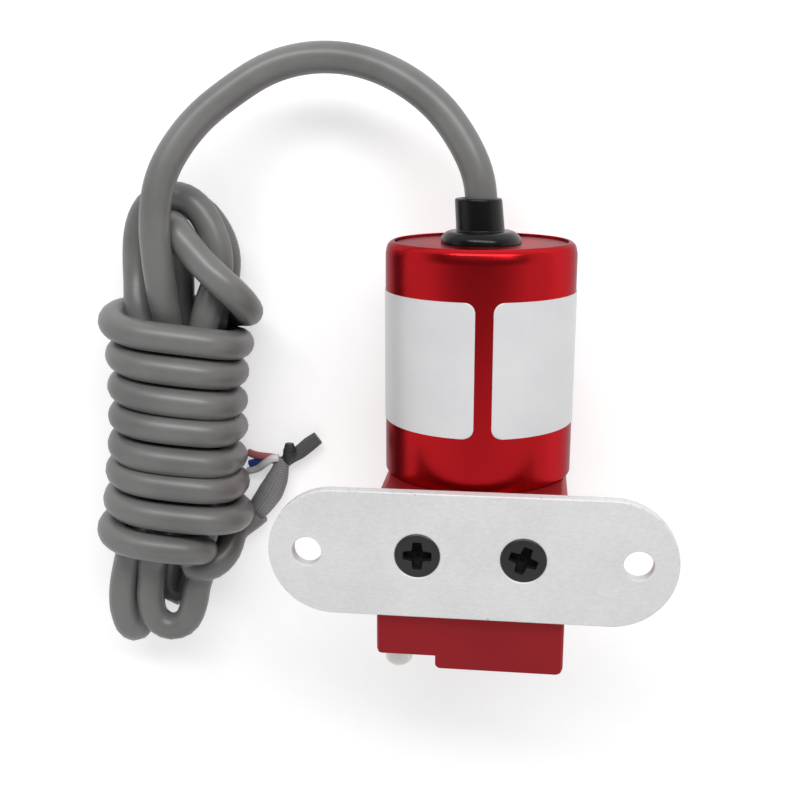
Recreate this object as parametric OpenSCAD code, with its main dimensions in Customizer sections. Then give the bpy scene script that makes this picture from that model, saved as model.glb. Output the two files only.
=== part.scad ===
// Draw wire encoder: a wire drum with a return spring and an angle sensor in a machined block,
// an electronics can with a cable gland on top, and a mounting plate screwed to the front.
// It lies on its back. X runs across the block, Y from the wire outlet to the cable gland, and Z from
// the table through the block to the mounting plate. The origin is on the table, under the middle.

/* [Housing block] */
// Width of the block
block_w = 29; // [28.6:0.1:34]
// Height of the block, from the foot to the can
block_h = 28.4; // [28.2:0.1:34]
// Depth of the block, without its cover
block_depth = 28.5; // [28.5:0.1:34]
// Radius of the block's upright corners
block_round = 1.2; // [0.4:0.1:1.4]
// Bevel round the block's front face
block_bevel = 0.35; // [0.1:0.05:0.6]
// Thickness of the wall behind the mounting plate
front_wall = 5; // [4.5:0.1:6]
// Depth of the step that the wire's end fitting hangs in
step_h = 2.1; // [1:0.1:3]
// How far the step's wall stands to the left of the middle
step_x = 5.3; // [3:0.1:7]

/* [Cover] */
// Thickness of the back cover
cover_t = 3; // [2.5:0.1:5]
// Thickness of the gasket under the cover
gasket_t = 0.5; // [0.3:0.1:1]
// Diameter of the cover's screws
cover_screw_d = 2; // [1.6:0.1:2.2]
// Distance between the cover's screws, across
cover_screw_dx = 23.6; // [23.4:0.1:24]
// Distance between the cover's screws, along
cover_screw_dy = 18.8; // [18:0.1:19.5]
// Length of the cover's screws
cover_screw_l = 8; // [6:0.5:12]

/* [Mounting plate] */
// Length of the plate over its round ends
plate_l = 62; // [58:0.5:80]
// Width of the plate
plate_w = 20; // [16:0.1:21]
// Thickness of the plate
plate_t = 2; // [1.8:0.1:4]
// Height of the plate's middle above the foot
plate_up = 19.4; // [19:0.1:20]
// Bevel round the plate's faces
plate_bevel = 0.15; // [0.05:0.05:0.4]
// Distance between the mounting holes
hole_spacing = 50; // [48:0.5:52]
// Diameter of the mounting holes
hole_d = 4.5; // [3:0.1:5.5]
// Distance between the screws that hold the plate
screw_spacing = 16; // [14:0.1:18]
// Diameter of the screws that hold the plate
screw_d = 4; // [3:0.1:4.4]
// Diameter of those screws' heads
screw_head_d = 7.2; // [6.4:0.1:7.6]
// Length of those screws, with their heads
screw_l = 6; // [5:0.1:6.4]
// Turn of the right-hand screw's recess
recess_turn = 20; // [0:5:90]

/* [Electronics can] */
// Outside diameter of the can
can_d = 30; // [29.6:0.1:32]
// Length of the can
can_l = 36.8; // [34:0.1:60]
// Wall of the can
can_wall = 2; // [1.8:0.1:3]
// Wall of the can's rim, round the lid
rim_wall = 1.4; // [1.2:0.1:1.6]
// Rounding of the can's rim
rim_round = 0.9; // [0.3:0.1:1]
// Thickness of the can's floor
can_floor = 2; // [1.5:0.1:4]
// Gap between the can and the table
can_lift = 0.5; // [0.3:0.1:2]
// Distance between the screws in the can's floor
can_screw_dx = 19; // [18:0.1:20]
// Diameter of the screws in the can's floor
can_screw_d = 2.5; // [2:0.1:2.6]
// Length of the thread of those screws
can_screw_l = 5; // [4:0.1:5.2]
// Thickness of the lid
lid_t = 2.5; // [2.2:0.1:4]
// Depth of the lid below the rim
lid_recess = 0.4; // [0.2:0.1:1]
// Thickness of the lid's sealing ring
lid_ring_d = 1.1; // [0.8:0.1:1.3]

/* [Labels] */
// Length of each label round the can
label_l = 36; // [20:0.5:44]
// Height of each label
label_h = 20.6; // [10:0.1:26]
// Height of the labels above the can's foot
label_up = 8.6; // [2:0.1:10]
// Gap between the two labels
label_gap = 2.7; // [1:0.1:5]
// Thickness of a label
label_t = 0.1; // [0.05:0.05:0.3]
// Radius of a label's corners
label_round = 1.6; // [0.5:0.1:4]

/* [Cable gland] */
// Diameter of the gland's foot
gland_foot_d = 12.7; // [10:0.1:16]
// Height of the gland's foot
gland_foot_h = 1.9; // [1.5:0.1:3]
// Diameter of the gland's sleeve
sleeve_d = 7.6; // [7:0.1:9]
// Length of the sleeve
sleeve_l = 5; // [3:0.1:12]
// Rounding of the sleeve's mouth
sleeve_round = 0.3; // [0.1:0.1:0.6]
// Diameter of the gland's neck in the lid
neck_d = 8.4; // [7.5:0.1:9]
// Thickness of the lip under the lid
lip_t = 1.2; // [0.8:0.1:2]

/* [Cable] */
// Diameter of the cable
cable_d = 5; // [4:0.1:5.4]
// Length of cable inside the can, under the gland's lip
cable_inside = 3; // [1:0.5:4]
// Thickness of the hank
hank_t = 20; // [18:0.5:24]
// Diameter of the braid under the jacket
braid_d = 4.2; // [3:0.1:4.6]
// Diameter of one core of the cable
core_d = 1.2; // [0.8:0.1:1.3]
// Thickness of the braid where it is twisted together
pigtail_d = 1.8; // [1:0.1:1.8]

/* [Wire and drum] */
// Diameter of the measuring wire
wire_d = 0.6; // [0.4:0.05:0.8]
// Length of wire paid out in one turn of the drum
wire_per_turn = 75; // [73.8:0.1:75.4]
// Distance between neighbouring turns of wire
wire_pitch = 0.7; // [0.7:0.02:0.9]
// Number of turns of wire on the drum
wire_turns = 5; // [3:2:5]
// Height of the drum's rims over the middle of the wire
rim_over = 0.4; // [0.3:0.05:0.45]
// Thickness of the drum's rims and web
drum_web = 0.8; // [0.6:0.1:1.2]
// Length of the drum's skirt, round the spring
skirt_l = 3; // [2.5:0.1:3.2]
// Wall of the drum under the wire
drum_wall = 0.8; // [0.6:0.1:1.2]
// Diameter of the wire's end fitting
fitting_d = 4.4; // [3.5:0.1:4.6]
// Length of the wire's end fitting
fitting_l = 5.7; // [4:0.1:10]
// Rounding of the fitting's end
fitting_round = 1.3; // [0.5:0.1:1.5]
// Diameter of the bush in the wire's outlet
bush_d = 3.2; // [2.4:0.1:3.6]
// Length of the bush
bush_l = 4; // [3:0.1:4.4]

/* [Shaft and bearings] */
// Diameter of the drum's shaft
shaft_d = 4; // [3.4:0.1:4.2]
// Outside diameter of a ball bearing
bearing_d = 8; // [7.8:0.1:8.4]
// Width of a ball bearing
bearing_w = 3; // [2.6:0.1:3]
// Diameter of a bearing's balls
ball_d = 1.2; // [1:0.05:1.3]
// Number of balls in a bearing
balls = 7; // [5:1:7]
// Thickness of the bridge that carries the rear bearing
bridge_t = 3; // [3:0.1:3.4]

/* [Return spring] */
// Thickness of the spring's strip
strip_t = 0.25; // [0.15:0.05:0.3]
// Width of the spring's strip
strip_w = 4.6; // [3:0.1:4.8]
// Number of turns of the spring
spring_turns = 7; // [4:1:8]
// Diameter of the arbor that the spring is wound on
arbor_d = 8.4; // [7.6:0.1:9]

/* [Angle sensor] */
// Thickness of the circuit boards
board_t = 1.6; // [1:0.1:2]
// Diameter of the magnet
magnet_d = 6; // [4:0.1:7]
// Thickness of the magnet
magnet_t = 2.5; // [1.5:0.1:2.8]
// Gap between the magnet and the sensor chip
air_gap = 0.8; // [0.5:0.1:1.2]
// Height of the sensor chip
chip_h = 1.2; // [0.8:0.1:1.4]
// Height of the sensor's board over the gasket
board_lift = 2; // [1.8:0.1:2.2]
// Height at which the sensor's leads turn, over its board
lead_rise = 4.5; // [4:0.1:5]
// Distance of the sensor's leads from the edge of its board
lead_inset = 3; // [2.6:0.1:4]

/* [Electronics] */
// Width of the circuit board in the can
board_w = 22; // [16:0.5:23]
// Length of the circuit board in the can
board_l = 22; // [16:0.5:24]
// Thickness of the carrier that the board stands in
carrier_t = 4; // [3.5:0.1:5]

/* [Fits] */
// Gap round a piece that is seated in another
seat_gap = 0.05; // [0.02:0.01:0.1]
// Gap between the drum and the block
drum_gap = 0.4; // [0.3:0.05:0.45]
// Gap round the wire in its outlet
wire_gap = 0.2; // [0.1:0.05:0.3]
// Least gap between a turning piece and a fixed one
running_gap = 0.5; // [0.3:0.05:0.6]

/* [Hidden] */
$fn = 64;
eps = 0.01;

// Heights over the table
block_z = cover_t + gasket_t;
front_z = block_z + block_depth;
plate_z = front_z + plate_t;
can_z = can_d / 2 + can_lift;
chamber_z = front_z - front_wall;

// Places along Y, with the origin midway between the fitting's tip and the gland's mouth
reach_up = block_h + can_l - lid_recess + gland_foot_h + sleeve_l;
reach_down = fitting_l + seat_gap - step_h;
foot_y = -(reach_up - reach_down) / 2;
drum_y = foot_y + block_h / 2;
plate_y = foot_y + plate_up;
step_y = foot_y + step_h;
can_y = foot_y + block_h;
lid_y = can_y + can_l - lid_recess;

// Wire and drum
wire_r = wire_per_turn / (2 * PI);
drum_r = wire_r - wire_d / 2;
drum_rim_r = wire_r + rim_over;
chamber_r = drum_rim_r + drum_gap;
wind_w = wire_turns * wire_pitch;
drum_front_z = chamber_z - running_gap;
wire_z = drum_front_z - drum_web - wind_w / 2;
wind_z = wire_z - wind_w / 2;
skirt_z = wind_z - skirt_l;
drum_hollow_r = drum_r - drum_wall;

// Shaft line, from the front wall back to the cover
bridge_top_z = skirt_z - 3 * running_gap;
bridge_z = bridge_top_z - bridge_t;
seat_r = chamber_r + (min(block_w, block_h) / 2 - chamber_r) / 4;
bridge_r = seat_r - seat_gap;
spacer_wall = 1.2;
shaft_r = shaft_d / 2;
bearing_r = bearing_d / 2;
ball_ring_r = (shaft_r + bearing_r) / 2;
front_bearing_z = chamber_z;
rear_bearing_z = bridge_z;
shaft_top_z = front_bearing_z + bearing_w - 0.2;
arbor_foot_h = 0.8;
arbor_h = drum_front_z - 2 * drum_web - running_gap - bridge_top_z;
holder_z = bridge_z - running_gap;
board_z = block_z + board_lift;
chip_z = board_z + board_t;
magnet_z = chip_z + chip_h + air_gap;
magnet_top_z = magnet_z + magnet_t;
lead_z = chip_z + lead_rise;
lead_hole_d = 4;
board_y = can_y + can_floor + 2;

// Screw heads, and how much deeper than its screw a blind hole is drilled
cover_head_d = cover_screw_d * 1.9;
can_head_d = can_screw_d * 1.7;
can_head_h = can_screw_d * 0.6;
drill_over = 0.3;

// Cable: its route is set by hand, in the gland, over the hank and out of it
mouth_y = lid_y + gland_foot_h + sleeve_l;
run_route = [
    [-0.3, 40, 15.4], [-1.2, 42.8, 15.2], [-3.2, 46.5, 14.7], [-6.6, 51, 13.9], [-11, 54.6, 12.9],
    [-16.4, 57.4, 11.8], [-22.4, 58.9, 10.9], [-28.7, 58.9, 10.6], [-34.6, 57.3, 10.9], [-40, 54, 11.8],
    [-45.3, 49.8, 13.2], [-49.2, 44.8, 14.8], [-51.3, 40.4, 16]
];
tail_route = [[-46, -25.2, 2.8], [-44.6, -24.2, 2.8], [-42.9, -22.4, 2.7], [-41, -20.2, 2.6]];
braid_route = [
    [-41, -20.2, 2.6], [-39.8, -18.4, 2.6], [-38.5, -16.3, 2.6], [-37.3, -13.9, 2.5], [-36.5, -11.7, 2.4],
    [-36, -9.8, 2.3]
];
blue_route = [
    [-36.9, -10.5, 2.4], [-37.5, -10.5, 2.1], [-38.1, -10.6, 1.9], [-38.8, -10.8, 1.6], [-39.4, -10.9, 1.4]
];
red_route = [
    [-36.5, -9.5, 3.2], [-37.2, -9.3, 3], [-37.9, -9.3, 2.7], [-38.7, -9.4, 2.4], [-39.4, -9.4, 2.2]
];
pale_route = [
    [-36.9, -9.5, 1.9], [-37.5, -9.1, 1.7], [-38.1, -8.9, 1.5], [-38.8, -8.8, 1.2], [-39.4, -8.8, 1]
];
pigtail_route = [
    [-35.3, -10.3, 2.2], [-34.1, -9.5, 2.1], [-32.7, -8.6, 1.9], [-31, -7.2, 1.6], [-29.4, -6, 1.4]
];
hank_loops = [[-51.6, 29.8, 10.4], [-52.2, 8, 11.9], [-53.4, -10, 12.4], [-58.6, -37.2, 9.4]];

red_metal = [0.62, 0.07, 0.09];
silver = [0.82, 0.82, 0.83];
steel = [0.7, 0.7, 0.72];
black_steel = [0.12, 0.12, 0.13];
rubber = [0.09, 0.09, 0.1];
jacket = [0.5, 0.5, 0.49];
brass = [0.78, 0.62, 0.3];
board_green = [0.08, 0.36, 0.2];

// ---- Shared shapes -------------------------------------------------------------------------

// Stands a shape that was drawn along Z along Y, with its foot at a point
module along_y(at) {
    translate(at) rotate([-90, 0, 0]) children();
}

// A rectangle about the middle, with round corners
module round_rect(size, r) {
    square([size[0] - 2 * r, size[1]], center = true);
    square([size[0], size[1] - 2 * r], center = true);
    for (x = [-1, 1], y = [-1, 1])
        translate([x * (size[0] / 2 - r), y * (size[1] / 2 - r)]) circle(r);
}

// What rounding a corner takes away: the corner stands at the origin, in the quarter where the
// signs sx and sy point from the corner into the shape
module corner_waste(r, sx, sy) {
    difference() {
        translate([sx > 0 ? -eps : -r, sy > 0 ? -eps : -r]) square(r + eps);
        translate([sx * r, sy * r]) circle(r, $fn = 48);
    }
}

// A ring about Z
module ring(outer_r, inner_r, h) {
    difference() {
        cylinder(r = outer_r, h = h);
        translate([0, 0, -eps]) cylinder(r = inner_r, h = h + 2 * eps);
    }
}

// The places of the cover's screws
module at_cover_screws() {
    for (x = [-1, 1], y = [-1, 1])
        translate([x * cover_screw_dx / 2, drum_y + y * cover_screw_dy / 2, 0]) children();
}

// The places of the screws through the plate
module at_plate_screws() {
    for (side = [-1, 1]) translate([side * screw_spacing / 2, plate_y, 0]) children();
}

// The places of the screws in the can's floor
module at_can_screws() {
    for (side = [-1, 1]) translate([side * can_screw_dx / 2, 0, can_z]) children();
}

// A countersunk screw pointing up from z = 0, with its head's face at z = 0
module countersunk(d, head_d, l, slack = 0) {
    cylinder(r1 = head_d / 2 + slack, r2 = d / 2 + slack, h = (head_d - d) / 2);
    cylinder(r = d / 2 + slack, h = l);
}

// A cross recess cut down from z = 0, tapering to its floor
module cross_recess(head_d) {
    reach = head_d * 0.31;
    depth = head_d * 0.22;
    slot_w = head_d * 0.11;
    intersection() {
        translate([0, 0, -depth]) cylinder(r1 = reach * 0.45, r2 = reach, h = depth + eps);
        for (turn = [0, 90])
            rotate(turn) translate([-reach, -slot_w / 2, -depth]) cube([2 * reach, slot_w, 2 * depth]);
    }
}

function unit(v) = v / norm(v);
function heading(path, i) = unit(path[min(i + 1, len(path) - 1)] - path[max(i - 1, 0)]);
function hoop(c, t, r, n) =
    let (side = unit(cross(t, [0, 0, 1])), up = cross(side, t))
    [for (k = [0:n - 1]) c + r * (cos(360 * k / n) * side + sin(360 * k / n) * up)];

// A round tube swept along a list of points
module tube(path, d, sides) {
    last = len(path) - 1;
    points = [for (i = [0:last]) each hoop(path[i], heading(path, i), d / 2, sides)];
    walls = [
        for (i = [0:last - 1], k = [0:sides - 1])
            let (a = i * sides + k, b = i * sides + (k + 1) % sides)
            each [[a, b, b + sides], [a, b + sides, a + sides]]
    ];
    foot = [[for (k = [0:sides - 1]) sides - 1 - k]];
    tip = [[for (k = [0:sides - 1]) last * sides + k]];
    polyhedron(points, concat(walls, foot, tip));
}

// ---- Housing -------------------------------------------------------------------------------

// The block's outline, with the step at its lower left
module block_outline() {
    notch_round = block_round * 0.7;
    difference() {
        translate([0, drum_y]) round_rect([block_w, block_h], block_round);
        translate([-block_w, foot_y - block_h]) square([block_w - step_x, block_h + step_h]);
        translate([-block_w / 2, step_y]) corner_waste(notch_round, 1, 1);
        translate([-step_x, foot_y]) corner_waste(notch_round, 1, 1);
    }
}

module housing_block() {
    color(red_metal) difference() {
        intersection() {
            translate([0, 0, block_z]) linear_extrude(block_depth) block_outline();
            // bevels along the sides of the front face
            translate([0, foot_y - eps, 0]) rotate([90, 0, 0]) mirror([0, 0, 1])
                linear_extrude(block_h + 2 * eps) polygon([
                    [-block_w / 2 - eps, 0], [block_w / 2 + eps, 0],
                    [block_w / 2 + eps, front_z - block_bevel - eps], [block_w / 2 - block_bevel, front_z],
                    [-block_w / 2 + block_bevel, front_z], [-block_w / 2 - eps, front_z - block_bevel - eps]
                ]);
        }
        // chamber for the drum, open towards the cover
        translate([0, drum_y, block_z - eps])
            cylinder(r = chamber_r, h = chamber_z - block_z + eps, $fn = 96);
        translate([0, drum_y, block_z - eps])
            cylinder(r = seat_r, h = bridge_top_z - block_z + eps, $fn = 96);
        translate([0, drum_y, chamber_z - eps]) cylinder(r = bearing_r, h = bearing_w + eps);
        at_plate_screws() translate([0, 0, plate_z - screw_l - drill_over])
            cylinder(r = screw_d / 2, h = screw_l);
        at_cover_screws() translate([0, 0, block_z - eps])
            cylinder(r = cover_screw_d / 2, h = cover_screw_l - block_z + drill_over);
        at_can_screws() along_y([0, can_y + can_floor - can_screw_l - drill_over, 0])
            cylinder(r = can_screw_d / 2, h = can_screw_l);
        // wire outlet and its bush
        along_y([-wire_r, step_y - eps, wire_z]) cylinder(r = bush_d / 2, h = bush_l + eps, $fn = 32);
        along_y([-wire_r, step_y, wire_z])
            cylinder(r = wire_d / 2 + wire_gap, h = drum_y - step_y, $fn = 32);
        // passage for the sensor's leads into the can
        along_y([0, drum_y, lead_z]) cylinder(r = lead_hole_d / 2, h = block_h, $fn = 32);
    }
}

module back_cover() {
    color(red_metal) difference() {
        union() {
            linear_extrude(cover_t) block_outline();
            translate([0, drum_y, cover_t - eps])
                ring(bridge_r, bridge_r - spacer_wall, board_z - cover_t + eps);
        }
        at_cover_screws() translate([0, 0, -eps])
            countersunk(cover_screw_d, cover_head_d, cover_t * 2, seat_gap);
    }
}

module cover_gasket() {
    color(rubber) difference() {
        translate([0, 0, cover_t]) linear_extrude(gasket_t) block_outline();
        translate([0, drum_y, 0]) cylinder(r = seat_r, h = block_z + eps);
        at_cover_screws() cylinder(r = cover_screw_d / 2 + seat_gap, h = block_z + eps);
    }
}

module cover_screws() {
    color(black_steel) at_cover_screws() difference() {
        countersunk(cover_screw_d, cover_head_d, cover_screw_l);
        mirror([0, 0, 1]) cross_recess(cover_head_d);
    }
}

// ---- Mounting plate ------------------------------------------------------------------------

module mounting_plate() {
    r = plate_w / 2;
    straight = plate_l - plate_w;
    side = [
        [0, 0], [r - plate_bevel, 0], [r, plate_bevel], [r, plate_t - plate_bevel],
        [r - plate_bevel, plate_t], [0, plate_t]
    ];
    color(silver) translate([0, plate_y, front_z]) difference() {
        union() {
            for (end = [-1, 1]) translate([end * straight / 2, 0, 0])
                rotate_extrude($fn = 96) polygon(side);
            translate([-straight / 2, 0, 0]) rotate([90, 0, 90]) linear_extrude(straight) union() {
                polygon(side);
                mirror([1, 0]) polygon(side);
            }
        }
        for (end = [-1, 1]) translate([end * hole_spacing / 2, 0, -eps]) {
            cylinder(r = hole_d / 2, h = plate_t + 2 * eps);
            translate([0, 0, plate_t - plate_bevel + eps])
                cylinder(r1 = hole_d / 2, r2 = hole_d / 2 + plate_bevel, h = plate_bevel + eps);
        }
        for (side = [-1, 1]) translate([side * screw_spacing / 2, 0, plate_t + eps]) mirror([0, 0, 1])
            countersunk(screw_d, screw_head_d, plate_t * 2, seat_gap);
    }
}

module plate_screws() {
    for (side = [-1, 1]) color(black_steel) translate([side * screw_spacing / 2, plate_y, plate_z])
        rotate(side > 0 ? -recess_turn : 0) difference() {
            mirror([0, 0, 1]) countersunk(screw_d, screw_head_d, screw_l);
            cross_recess(screw_head_d);
        }
}

// ---- Electronics can -----------------------------------------------------------------------

module electronics_can() {
    lid_seat = can_l - lid_recess - lid_t;
    color(red_metal) difference() {
        along_y([0, can_y, can_z]) rotate_extrude($fn = 128) difference() {
            square([can_d / 2, can_l]);
            translate([can_d / 2, can_l]) corner_waste(rim_round, -1, -1);
            translate([-eps, can_floor]) square([can_d / 2 - can_wall + eps, can_l]);
            translate([-eps, lid_seat]) square([can_d / 2 - rim_wall + eps, can_l]);
        }
        at_can_screws() along_y([0, can_y - eps, 0])
            cylinder(r = can_screw_d / 2 + seat_gap, h = can_floor + 2 * eps, $fn = 32);
        along_y([0, can_y - eps, lead_z])
            cylinder(r = lead_hole_d / 2, h = can_floor + 2 * eps, $fn = 32);
    }
}

module can_screws() {
    color(steel) at_can_screws() along_y([0, can_y + can_floor, 0]) difference() {
        union() {
            cylinder(d = can_head_d, h = can_head_h, $fn = 32);
            translate([0, 0, -can_screw_l]) cylinder(d = can_screw_d, h = can_screw_l + eps, $fn = 32);
        }
        translate([0, 0, can_head_h]) cross_recess(can_head_d);
    }
}

module can_lid() {
    lid_r = can_d / 2 - rim_wall - seat_gap;
    groove_r = can_d / 2 - rim_wall - lid_ring_d;
    color(red_metal) along_y([0, lid_y - lid_t, can_z]) rotate_extrude($fn = 128) difference() {
        translate([neck_d / 2, 0]) square([lid_r - neck_d / 2, lid_t]);
        translate([groove_r, (lid_t - lid_ring_d) / 2]) square([can_d, lid_ring_d]);
    }
}

module lid_seal() {
    color(rubber) along_y([0, lid_y - lid_t / 2, can_z]) rotate_extrude()
        translate([can_d / 2 - rim_wall - lid_ring_d / 2, 0]) circle(lid_ring_d / 2, $fn = 24);
}

// A label wrapped round the can: its near edge stands at the angle start from the can's front, and
// it runs on towards +X. Each corner is rounded by three flat cuts.
module label(start) {
    r = can_d / 2;
    sweep = label_l / r * 180 / PI;
    inset = label_round / r * 180 / PI;
    cuts = 3;
    color([0.93, 0.93, 0.94]) along_y([0, can_y + label_up, can_z]) rotate(start - 90) difference() {
        rotate_extrude(angle = sweep, $fn = 128) translate([r, 0]) square([label_t, label_h]);
        for (end = [-1, 1], top = [-1, 1], k = [1:cuts])
            rotate(end < 0 ? inset : sweep - inset)
                translate([r - 1, 0, label_h / 2 + top * (label_h / 2 - label_round)])
                    rotate([end * top * 90 * (k - 0.5) / cuts, 0, 0])
                        translate([0, end < 0 ? -2 * label_round : label_round, -label_round])
                            cube([2 + label_t, label_round, 2 * label_round]);
    }
}

module label_left() {
    mirror([1, 0, 0]) label(0);
}

module label_right() {
    label(label_gap / (can_d / 2) * 180 / PI);
}

// Sleeve, round foot, neck through the lid and lip under it, turned as one profile
module cable_gland() {
    bead_r = gland_foot_h * 0.85;
    bore_r = cable_d / 2;
    color(rubber) along_y([0, lid_y, can_z]) rotate_extrude() difference() {
        union() {
            intersection() {
                translate([gland_foot_d / 2 - bead_r, gland_foot_h - bead_r]) circle(bead_r, $fn = 48);
                square([gland_foot_d, gland_foot_h]);
            }
            square([gland_foot_d / 2 - bead_r, gland_foot_h]);
            difference() {
                square([sleeve_d / 2, gland_foot_h + sleeve_l]);
                translate([sleeve_d / 2, gland_foot_h + sleeve_l]) corner_waste(sleeve_round, -1, -1);
            }
            translate([0, -lid_t - eps]) square([neck_d / 2 - seat_gap, lid_t + 2 * eps]);
            translate([0, -lid_t - lip_t]) square([neck_d / 2 + 1, lip_t]);
        }
        translate([-eps, -can_l]) square([bore_r + eps, 2 * can_l]);
    }
}

// ---- Wire, drum and shaft ------------------------------------------------------------------

module wire_outlet_bush() {
    color(steel) along_y([-wire_r, step_y, wire_z])
        ring(bush_d / 2 - seat_gap, wire_d / 2 + wire_gap, bush_l);
}

module wire_drum() {
    hub_wall = 1;
    hub_foot_z = drum_front_z - 2 * drum_web;
    color(silver) translate([0, drum_y, 0]) rotate_extrude($fn = 96) {
        // skirt and winding surface
        translate([drum_hollow_r, skirt_z]) square([drum_wall, drum_front_z - skirt_z]);
        // rims either side of the wire
        for (z = [wind_z - drum_web, drum_front_z - drum_web])
            translate([drum_hollow_r, z]) square([drum_rim_r - drum_hollow_r, drum_web]);
        // web and hub
        translate([shaft_r, drum_front_z - drum_web]) square([drum_rim_r - shaft_r, drum_web]);
        translate([shaft_r, hub_foot_z]) square([hub_wall, chamber_z - hub_foot_z]);
    }
}

module wound_wire() {
    half = (wire_turns - 1) / 2;
    lead_gap = 25;
    color(steel) translate([0, drum_y, wire_z]) for (turn = [-half:half])
        translate([0, 0, turn * wire_pitch])
            if (turn == 0)
                rotate(lead_gap - 180) rotate_extrude(angle = 360 - lead_gap, $fn = 96)
                    translate([wire_r, 0]) circle(d = wire_d, $fn = 16);
            else
                rotate_extrude($fn = 96) translate([wire_r, 0]) circle(d = wire_d, $fn = 16);
}

module draw_wire() {
    color(steel) along_y([-wire_r, step_y - seat_gap, wire_z])
        cylinder(d = wire_d, h = drum_y - step_y - seat_gap, $fn = 24);
}

module wire_end_fitting() {
    color(silver) along_y([-wire_r, step_y - seat_gap - fitting_l, wire_z])
        rotate_extrude($fn = 64) difference() {
            square([fitting_d / 2, fitting_l]);
            translate([fitting_d / 2, 0]) corner_waste(fitting_round, -1, 1);
        }
}

module drum_shaft() {
    color(steel) translate([0, drum_y, magnet_top_z]) cylinder(r = shaft_r, h = shaft_top_z - magnet_top_z);
}

// The race of a bearing between two radii, with the groove that its balls run in
module race(inner_r, outer_r, z) {
    color(steel) translate([0, drum_y, z]) rotate_extrude($fn = 64) difference() {
        translate([inner_r, 0]) square([outer_r - inner_r, bearing_w]);
        translate([ball_ring_r, bearing_w / 2]) circle(d = ball_d + seat_gap, $fn = 24);
    }
}

module front_bearing_outer() {
    race(ball_ring_r + ball_d * 0.3, bearing_r, front_bearing_z);
}

module front_bearing_inner() {
    race(shaft_r, ball_ring_r - ball_d * 0.3, front_bearing_z);
}

module rear_bearing_outer() {
    race(ball_ring_r + ball_d * 0.3, bearing_r, rear_bearing_z);
}

module rear_bearing_inner() {
    race(shaft_r, ball_ring_r - ball_d * 0.3, rear_bearing_z);
}

module bearing_balls() {
    color(steel) for (z = [front_bearing_z, rear_bearing_z], k = [0:balls - 1])
        translate([0, drum_y, z + bearing_w / 2]) rotate(360 * k / balls)
            translate([ball_ring_r, 0, 0]) sphere(d = ball_d, $fn = 16);
}

module bearing_bridge() {
    color(silver) translate([0, drum_y, bridge_z]) ring(bridge_r, bearing_r, bridge_t);
}

// ---- Return spring -------------------------------------------------------------------------

module spring_arbor() {
    bore_r = shaft_r + running_gap;
    color(brass) translate([0, drum_y, bridge_top_z]) {
        ring(arbor_d / 2 + 1, bore_r, arbor_foot_h);
        ring(arbor_d / 2, bore_r, arbor_h);
    }
}

// A flat spiral of strip, from the arbor out to the drum's hollow
module power_spring() {
    steps_per_turn = 30;
    steps = spring_turns * steps_per_turn;
    start_r = arbor_d / 2;
    growth = (drum_hollow_r - running_gap - strip_t - start_r) / steps;
    function coil(k, out) =
        let (a = 360 * k / steps_per_turn, r = start_r + growth * k + out)
        [r * cos(a), r * sin(a)];
    strip_z = drum_front_z - drum_web - running_gap - strip_w;
    color(steel) translate([0, drum_y, strip_z]) linear_extrude(strip_w)
        polygon([for (k = [0:steps]) coil(k, 0), for (k = [steps:-1:0]) coil(k, strip_t)]);
}

// ---- Angle sensor --------------------------------------------------------------------------

module magnet_holder() {
    wall = 0.8;
    color(brass) translate([0, drum_y, magnet_z]) difference() {
        cylinder(r = magnet_d / 2 + wall, h = holder_z - magnet_z);
        translate([0, 0, -eps]) cylinder(r = magnet_d / 2, h = magnet_t + eps);
        cylinder(r = shaft_r, h = holder_z);
    }
}

module sensor_magnet() {
    color([0.35, 0.35, 0.37]) translate([0, drum_y, magnet_z]) cylinder(r = magnet_d / 2, h = magnet_t);
}

module sensor_board() {
    color(board_green) translate([0, drum_y, board_z]) cylinder(r = bridge_r, h = board_t);
}

module sensor_chip() {
    chip_w = 4;
    color([0.1, 0.1, 0.1]) translate([-chip_w / 2, drum_y - chip_w / 2, chip_z])
        cube([chip_w, chip_w, chip_h]);
}

module spacer_ring() {
    color([0.2, 0.2, 0.22]) translate([0, drum_y, chip_z]) difference() {
        ring(bridge_r, bridge_r - spacer_wall, bridge_z - chip_z);
        along_y([0, 0, lead_z - chip_z]) cylinder(r = lead_hole_d / 2, h = block_h, $fn = 32);
    }
}

// Three leads from the sensor's board, through the top of the block, to the board in the can
module sensor_leads() {
    lead_d = 0.9;
    run_y = drum_y + bridge_r - lead_inset;
    end_y = can_y + can_floor + carrier_t + 1;
    color([0.85, 0.75, 0.2]) for (k = [-1:1]) translate([k * 1.1, 0, 0]) {
        translate([0, run_y, chip_z]) cylinder(d = lead_d, h = lead_z - chip_z, $fn = 16);
        translate([0, run_y, lead_z]) sphere(d = lead_d, $fn = 16);
        along_y([0, run_y, lead_z]) cylinder(d = lead_d, h = end_y - run_y, $fn = 16);
        translate([0, end_y, lead_z]) sphere(d = lead_d, $fn = 16);
        translate([0, end_y, lead_z]) cylinder(d = lead_d, h = can_z - board_t / 2 - lead_z, $fn = 16);
    }
}

// ---- Electronics ---------------------------------------------------------------------------

module board_carrier() {
    r = can_d / 2 - can_wall - seat_gap;
    color([0.15, 0.15, 0.16]) difference() {
        along_y([0, can_y + can_floor, can_z]) cylinder(r = r, h = carrier_t);
        translate([-board_w / 2 - seat_gap, board_y, can_z - board_t / 2 - seat_gap])
            cube([board_w + 2 * seat_gap, carrier_t, board_t + 2 * seat_gap]);
        at_can_screws() along_y([0, can_y, 0])
            cylinder(r = can_head_d / 2 + 0.2, h = can_floor + can_head_h + 0.2);
        along_y([0, can_y, lead_z]) cylinder(r = lead_hole_d / 2, h = 2 * can_floor + carrier_t);
    }
}

module circuit_board() {
    color(board_green) translate([-board_w / 2, board_y, can_z - board_t / 2])
        cube([board_w, board_l, board_t]);
}

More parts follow.
